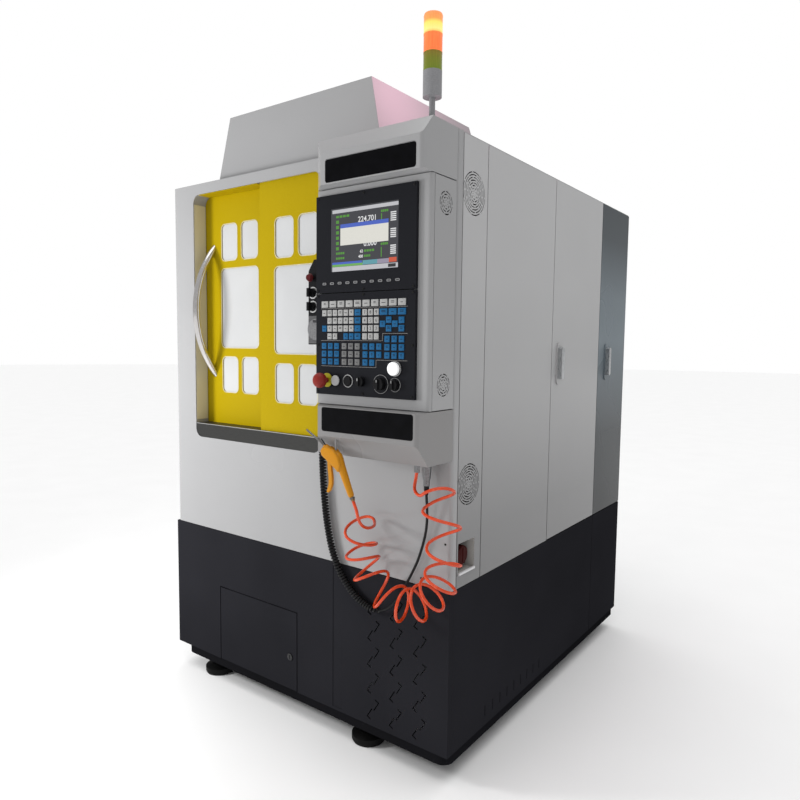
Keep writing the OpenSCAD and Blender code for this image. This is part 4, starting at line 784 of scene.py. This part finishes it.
# The green and amber lenses are not lit: their emission is painted glow, the green one turning red towards
# its top.
green_painted_glow = [(0, (0.1, 0.18, 0.004)), (0.5, (0.14, 0.16, 0.006)), (1, (0.26, 0.11, 0.012))]
amber_painted_glow = [(0, (0.95, 0.15, 0.04)), (0.5, (0.9, 0.16, 0.04)), (1, (0.95, 0.2, 0.06))]
red_glow = [
    (0, (1.0, 0.5, 0.12)), (0.14, (1.0, 0.8, 0.25)), (0.45, (1.0, 0.72, 0.12)), (0.62, (1, 0.26, 0.06)),
    (1, (0.9, 0.2, 0.08)),
]
lens_green = lens_finish("lens_green", (0.07, 0.08, 0.004), (0.12, 0.12, 0.006), green_foot, green_painted_glow, 0.6)
lens_amber = lens_finish("lens_amber", (0.75, 0.13, 0.03), (0.85, 0.2, 0.05), amber_foot, amber_painted_glow, 0.6)
lens_red = lens_finish("lens_red", (0.7, 0.14, 0.04), (0.8, 0.2, 0.06), red_foot, red_glow, 1.0)
for lens_name, node_name, low, finish, slot in (
    ("green_lens", "tower_green", green_foot, lens_green, "lens_green"),
    ("amber_lens", "tower_amber", amber_foot, lens_amber, "lens_amber"),
    ("red_lens", "tower_red", red_foot, lens_red, "lens_red"),
):
    lens_shape = bmesh.new()
    profile = [(0, 0), (25, 0), (25, 3), (24.2, 3.4)]
    for rib in range(12):
        profile += [(24.2, 3.6 + rib * 3.2), (24.7, 5.2 + rib * 3.2)]
    profile += [(24.2, 42.6), (25, 43), (25, 46)]
    profile += [(23.5, 50.5), (18, lens_h), (0, lens_h)] if node_name == "tower_red" else [(0, 46)]
    add_lathe(lens_shape, profile, Matrix.Translation(at(tower_x, tower_y, low)), 64)
    lens = piece(lens_name, lens_shape, finish, "machine")
    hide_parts(node_name)
tower_glow = studio_light("tower_glow", "AREA", at(-20, 120, 2200), at(-320, 300, 1990), 2.1)
tower_glow.shape = "DISK"
tower_glow.size = 0.1
tower_glow.color = (1.0, 0.5, 0.66)
bpy.data.objects["tower_glow"].visible_camera = False
bpy.data.objects["tower_glow"].visible_glossy = False

# Hand pendant: a moulded black housing on a hook of the console, with a thin silver plate and a
# turned handwheel at its foot and white dial rings round the two selectors.
pendant_black = moulded("pendant_black", (0.005, 0.005, 0.006), (0.009, 0.009, 0.011), 0.42, 0.2)
wheel_metal = brushed("wheel_metal", (0.3, 0.3, 0.31), (0.42, 0.42, 0.43), 0.34, (3.0, 3.0, 3.0))
plate_silver = brushed("plate_silver", (0.17, 0.17, 0.175), (0.27, 0.27, 0.28), 0.5, (0.5, 6.0, 6.0))
dress(pendant_black, "pendant_body")
dress(wheel_metal, "pendant_wheel")
pendant_x = -444
pendant_face = -79.5
pendant_foot = 1290
plate_shape = bmesh.new()
plate_verts = add_block(
    plate_shape,
    (pendant_x - 35, pendant_face - 0.2, pendant_foot + 3),
    (pendant_x + 35, pendant_face + 0.2, pendant_foot + 87),
)
soften(plate_shape, edges_along(plate_verts, 1), 4.0, 4)
piece("pendant_plate", plate_shape, plate_silver, "machine")
for ring_name, height in (("axis_ring", 157), ("rate_ring", 115)):
    shape = bmesh.new()
    profile = [(14.3, 0.0), (18.2, 0.0), (18.2, 1.0), (17.8, 1.3), (14.7, 1.3), (14.3, 1.0), (14.3, 0.0)]
    add_lathe(shape, profile, facing_front(pendant_x - 16, pendant_face, pendant_foot + height))
    piece(ring_name, shape, ring_white, "machine")

# Air gun: an orange moulded grip and head hung on a peg under the console, with bulged cheeks on both
# sides, a bent trigger lever, a steel nozzle tube, a wire hook and the steel nut of the hose.
gun_orange = moulded("gun_orange", (0.5, 0.2, 0.003), (0.58, 0.24, 0.005), 0.34, 0.3)
dress(gun_orange, "air_gun_body", "air_gun_trigger")
gun_y = -167


def add_slab(shape, outline, near, far, round_by):
    front = [shape.verts.new(at(x, near, z)) for x, z in outline]
    back = [shape.verts.new(at(x, far, z)) for x, z in outline]
    shape.faces.new(front)
    shape.faces.new(back[::-1])
    for i in range(len(outline)):
        j = (i + 1) % len(outline)
        shape.faces.new((front[j], front[i], back[i], back[j]))
    rim = [shape.edges.get((front[i], front[i - 1])) for i in range(len(outline))]
    soften(shape, rim, round_by, 4)


cheek = [
    (-335, 986), (-327, 997), (-306, 999), (-284, 992), (-266, 974), (-258, 952), (-261, 932), (-271, 931),
    (-284, 951), (-300, 960), (-318, 964), (-331, 973),
]
cheek_shape = bmesh.new()
add_slab(cheek_shape, cheek, gun_y - 15, gun_y - 4.6, 5.0)
add_slab(cheek_shape, cheek, gun_y + 11, gun_y + 4.6, 4.0)
piece("gun_cheeks", cheek_shape, gun_orange, "machine")

lever = [
    (-306, 970, 6), (-309, 950, 6.6), (-307, 930, 6.4), (-303, 910, 6.2), (-303, 892, 5.8), (-308, 876, 5),
    (-316, 866, 3.2),
]
lever_left = []
lever_right = []
for i, (x, z, half) in enumerate(lever):
    ahead = Vector(lever[min(i + 1, len(lever) - 1)][:2]) - Vector(lever[max(i - 1, 0)][:2])
    aside = Vector((-ahead.y, ahead.x)).normalized() * half
    lever_left.append((x - aside.x, z - aside.y))
    lever_right.append((x + aside.x, z + aside.y))
lever_shape = bmesh.new()
add_slab(lever_shape, lever_left + lever_right[::-1], gun_y - 3.9, gun_y + 3.9, 1.2)
trigger_lever = piece("trigger_lever", lever_shape, gun_orange, "air_gun_trigger")
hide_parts("air_gun_trigger")


def along(start, end):
    foot = at(*start)
    turn = (at(*end) - foot).to_track_quat("Z", "Y").to_matrix().to_4x4()
    return Matrix.Translation(foot) @ turn


nozzle_shape = bmesh.new()
nozzle_tip = 88.6
nozzle_profile = [
    (0, 6), (5.4, 6), (5.4, 12), (3.4, 13), (3, 15), (3, nozzle_tip - 2), (2.4, nozzle_tip), (0, nozzle_tip),
]
add_lathe(nozzle_shape, nozzle_profile, along((-324, gun_y, 997), (-401, gun_y, 1040)), 24)
nut_profile = [(0, 8.4), (8, 8.4), (8, 13.5), (6.2, 14), (6.2, 19.3), (0, 19.3)]
add_lathe(nozzle_shape, nut_profile, along((-229, gun_y, 870), (-220, gun_y, 853)), 6)
nozzle_steel = brushed("nozzle_steel", (0.16, 0.155, 0.15), (0.26, 0.25, 0.24), 0.3, (3.0, 3.0, 3.0))
piece("gun_nozzle", nozzle_shape, nozzle_steel, "machine")
hook_shape = bmesh.new()
hook_profile = [(0, 0), (1.9, 0), (1.9, 34), (1.2, 35), (0, 35)]
add_lathe(hook_shape, hook_profile, along((-314, gun_y - 4, 994), (-339, gun_y - 4, 1019)), 16)
piece("gun_hook", hook_shape, screw_black, "machine")

# Air hose: one length of extruded orange-red polyurethane tube, wound as a curly cord, from the
# gun's nipple to a nut under the console.
hose_route = [
    (-220, -167, 853), (-211, -167, 834), (-215, -152, 811), (-237, -112, 793), (-260, -82, 770),
    (-270, -72, 725), (-268, -72, 676), (-246, -72, 628), (-200, -72, 580), (-145, -72, 556),
    (-90, -72, 552), (-35, -72, 582), (8, -72, 632), (22, -72, 690), (23, -72, 750), (19, -74, 810),
    (8, -78, 864), (-4, -80, 890), (-40, -90, 904), (-57, -90, 930), (-57, -90, 944),
]
hose_reach = [0, 3.1, 18.1] + [47.5] * 15 + [23, 2.9, 0]
hose_turns = [
    -0.662, -0.618, -0.611, -0.392, -0.22, 0.179, 1, 1.95, 2.88, 3.42, 4.5, 5.5, 6.82, 7.8, 8.5, 9.038,
    9.561, 10.165, 10.35, 10.491, 10.491,
]
hose_d = 9


def between(values, i, share):
    before = values[max(i - 1, 0)]
    start = values[i]
    end = values[i + 1]
    after = values[min(i + 2, len(values) - 1)]
    bend = 2 * before - 5 * start + 4 * end - after
    sway = 3 * start - before - 3 * end + after
    return start + share / 2 * (end - before + share * (bend + share * sway))


def curly(route, reach, turns, steps):
    spots = [Vector(spot) for spot in route]
    points = []
    for i in range(len(route) - 1):
        for step in range(steps[i]):
            share = step / steps[i]
            middle = between(spots, i, share)
            ahead = between(spots, i, min(share + 0.01, 1.0)) - between(spots, i, max(share - 0.01, 0.0))
            out = Vector((ahead.z, 0.0, -ahead.x)).normalized()
            phase = math.tau * between(turns, i, share)
            swing = max(between(reach, i, share), 0.0)
            aside = math.cos(phase) * out - math.sin(phase) * Vector((0, 1, 0))
            points.append(at(*(middle + swing * aside)))
    points.append(at(*route[-1]))
    return points


def cord_curve(name, points, diameter, finish):
    curve = bpy.data.curves.new(name, "CURVE")
    curve.dimensions = "3D"
    curve.bevel_depth = diameter / 2000
    curve.bevel_resolution = 3
    curve.use_fill_caps = True
    line = curve.splines.new("POLY")
    line.points.add(len(points) - 1)
    for spot, point in zip(line.points, points):
        spot.co = (*point, 1.0)
    curve.materials.append(finish)
    cord = bpy.data.objects.new(name, curve)
    bpy.context.scene.collection.objects.link(cord)
    return cord


hose_red = new_finish("hose_red", (0.66, 0.06, 0.012), 0.16)
hose_skin = grain(hose_red, 60.0)
shade(hose_red, hose_skin, (0.62, 0.045, 0.004), (0.72, 0.068, 0.009))
gloss(hose_red, hose_skin, 0.2, 0.28)
hose_shader = hose_red.node_tree.nodes["Principled BSDF"]
hose_shader.inputs["Coat Weight"].default_value = 0.12
hose_steps = [
    max(6, round(24 * abs(end - start))) for start, end in zip(hose_turns, hose_turns[1:])
]
hose_points = curly(hose_route, hose_reach, hose_turns, hose_steps)
hose = cord_curve("air_hose_tube", hose_points, hose_d, hose_red)
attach(hose, "machine")
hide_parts("air_hose")

# Pendant cable: one rubber cable, plain from its plug under the console and curly from its lowest
# part up to the pendant, with wider curls where the curly part begins and ends.
cable_route = [
    (-64, -32, 896), (-64, -32, 872), (-66, -24, 820), (-73, -16, 770), (-85, -14, 720),
    (-106, -14, 660), (-142, -14, 590), (-184, -14, 522), (-222, -15, 490), (-262, -16, 481),
    (-312, -16, 494), (-360, -16, 524), (-402, -16, 570), (-434, -16, 630), (-456, -16, 710),
    (-470, -16, 800), (-478, -16, 900), (-480, -16, 1000), (-476, -20, 1100), (-464, -34, 1180),
    (-450, -50, 1235), (-444, -57, 1268), (-444, -57, 1290),
]
cable_d = 8
curl_start = 8
curl_end = 21
curl_pitch = 9.5
loose_runs = (8, 19, 20)
loose_pitch = 28.5
cable_reach = [0] * 9 + [6] + [8] * 10 + [5, 0, 0]
cable_turns = [0.0]
for i, (start, end) in enumerate(zip(cable_route, cable_route[1:])):
    run = (Vector(end) - Vector(start)).length
    pitch = loose_pitch if i in loose_runs else curl_pitch
    cable_turns.append(cable_turns[-1] + (run / pitch if curl_start <= i < curl_end else 0.0))
cable_rubber = moulded("cable_rubber", (0.004, 0.004, 0.004), (0.008, 0.008, 0.009), 0.45, 0.25)
cable_steps = [
    max(4, round(14 * (end - start))) for start, end in zip(cable_turns, cable_turns[1:])
]
cable_points = curly(cable_route, cable_reach, cable_turns, cable_steps)
cable = cord_curve("pendant_lead", cable_points, cable_d, cable_rubber)
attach(cable, "machine")
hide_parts("pendant_cable")

# Cable glands: a nickel-plated hose nut and the plug of the pendant cable under the console, and the
# moulded rubber boots that keep the cable from kinking at both of its ends.
gland_nickel = brushed("gland_nickel", (0.16, 0.16, 0.165), (0.26, 0.26, 0.265), 0.34, (3.0, 3.0, 3.0))
dress(gland_nickel, "cable_glands")
boot_shape = bmesh.new()
plug_boot = [
    (0, 0), (5.4, 0), (5.8, 5), (7, 6), (7, 10), (6, 11), (7.2, 12), (7.2, 16), (6.2, 17), (7.6, 18),
    (7.6, 26), (0, 26),
]
add_lathe(boot_shape, plug_boot, Matrix.Translation(at(-64, -32, 870)), 32)
pendant_boot = [(0, 0), (5.6, 0), (6.2, 8), (8, 12), (8, 20), (9.6, 21), (9.6, 26), (0, 26)]
add_lathe(boot_shape, pendant_boot, Matrix.Translation(at(-444, -57, 1264)), 32)
piece("cable_boots", boot_shape, cable_rubber, "machine")

# Machine inside: cast and painted bed and column, ground steel slides, rotary table and spindle in a
# painted head.
cast_grey = powder_coat("cast_grey", (0.1, 0.11, 0.12), (0.14, 0.15, 0.16), 0.45, 0.0003, 0.4, 0.003)
head_coat = powder_coat("head_coat", (0.5, 0.51, 0.52), (0.56, 0.57, 0.58), 0.38, 0.0002)
machined_steel = brushed("machined_steel", (0.42, 0.43, 0.44), (0.56, 0.57, 0.58), 0.26, (0.6, 5.0, 5.0))
dress(cast_grey, "machine_bed", "column")
dress(head_coat, "z_head")
dress(machined_steel, "y_saddle", "tilt_cradle", "rotary_table", "x_carriage", "spindle")
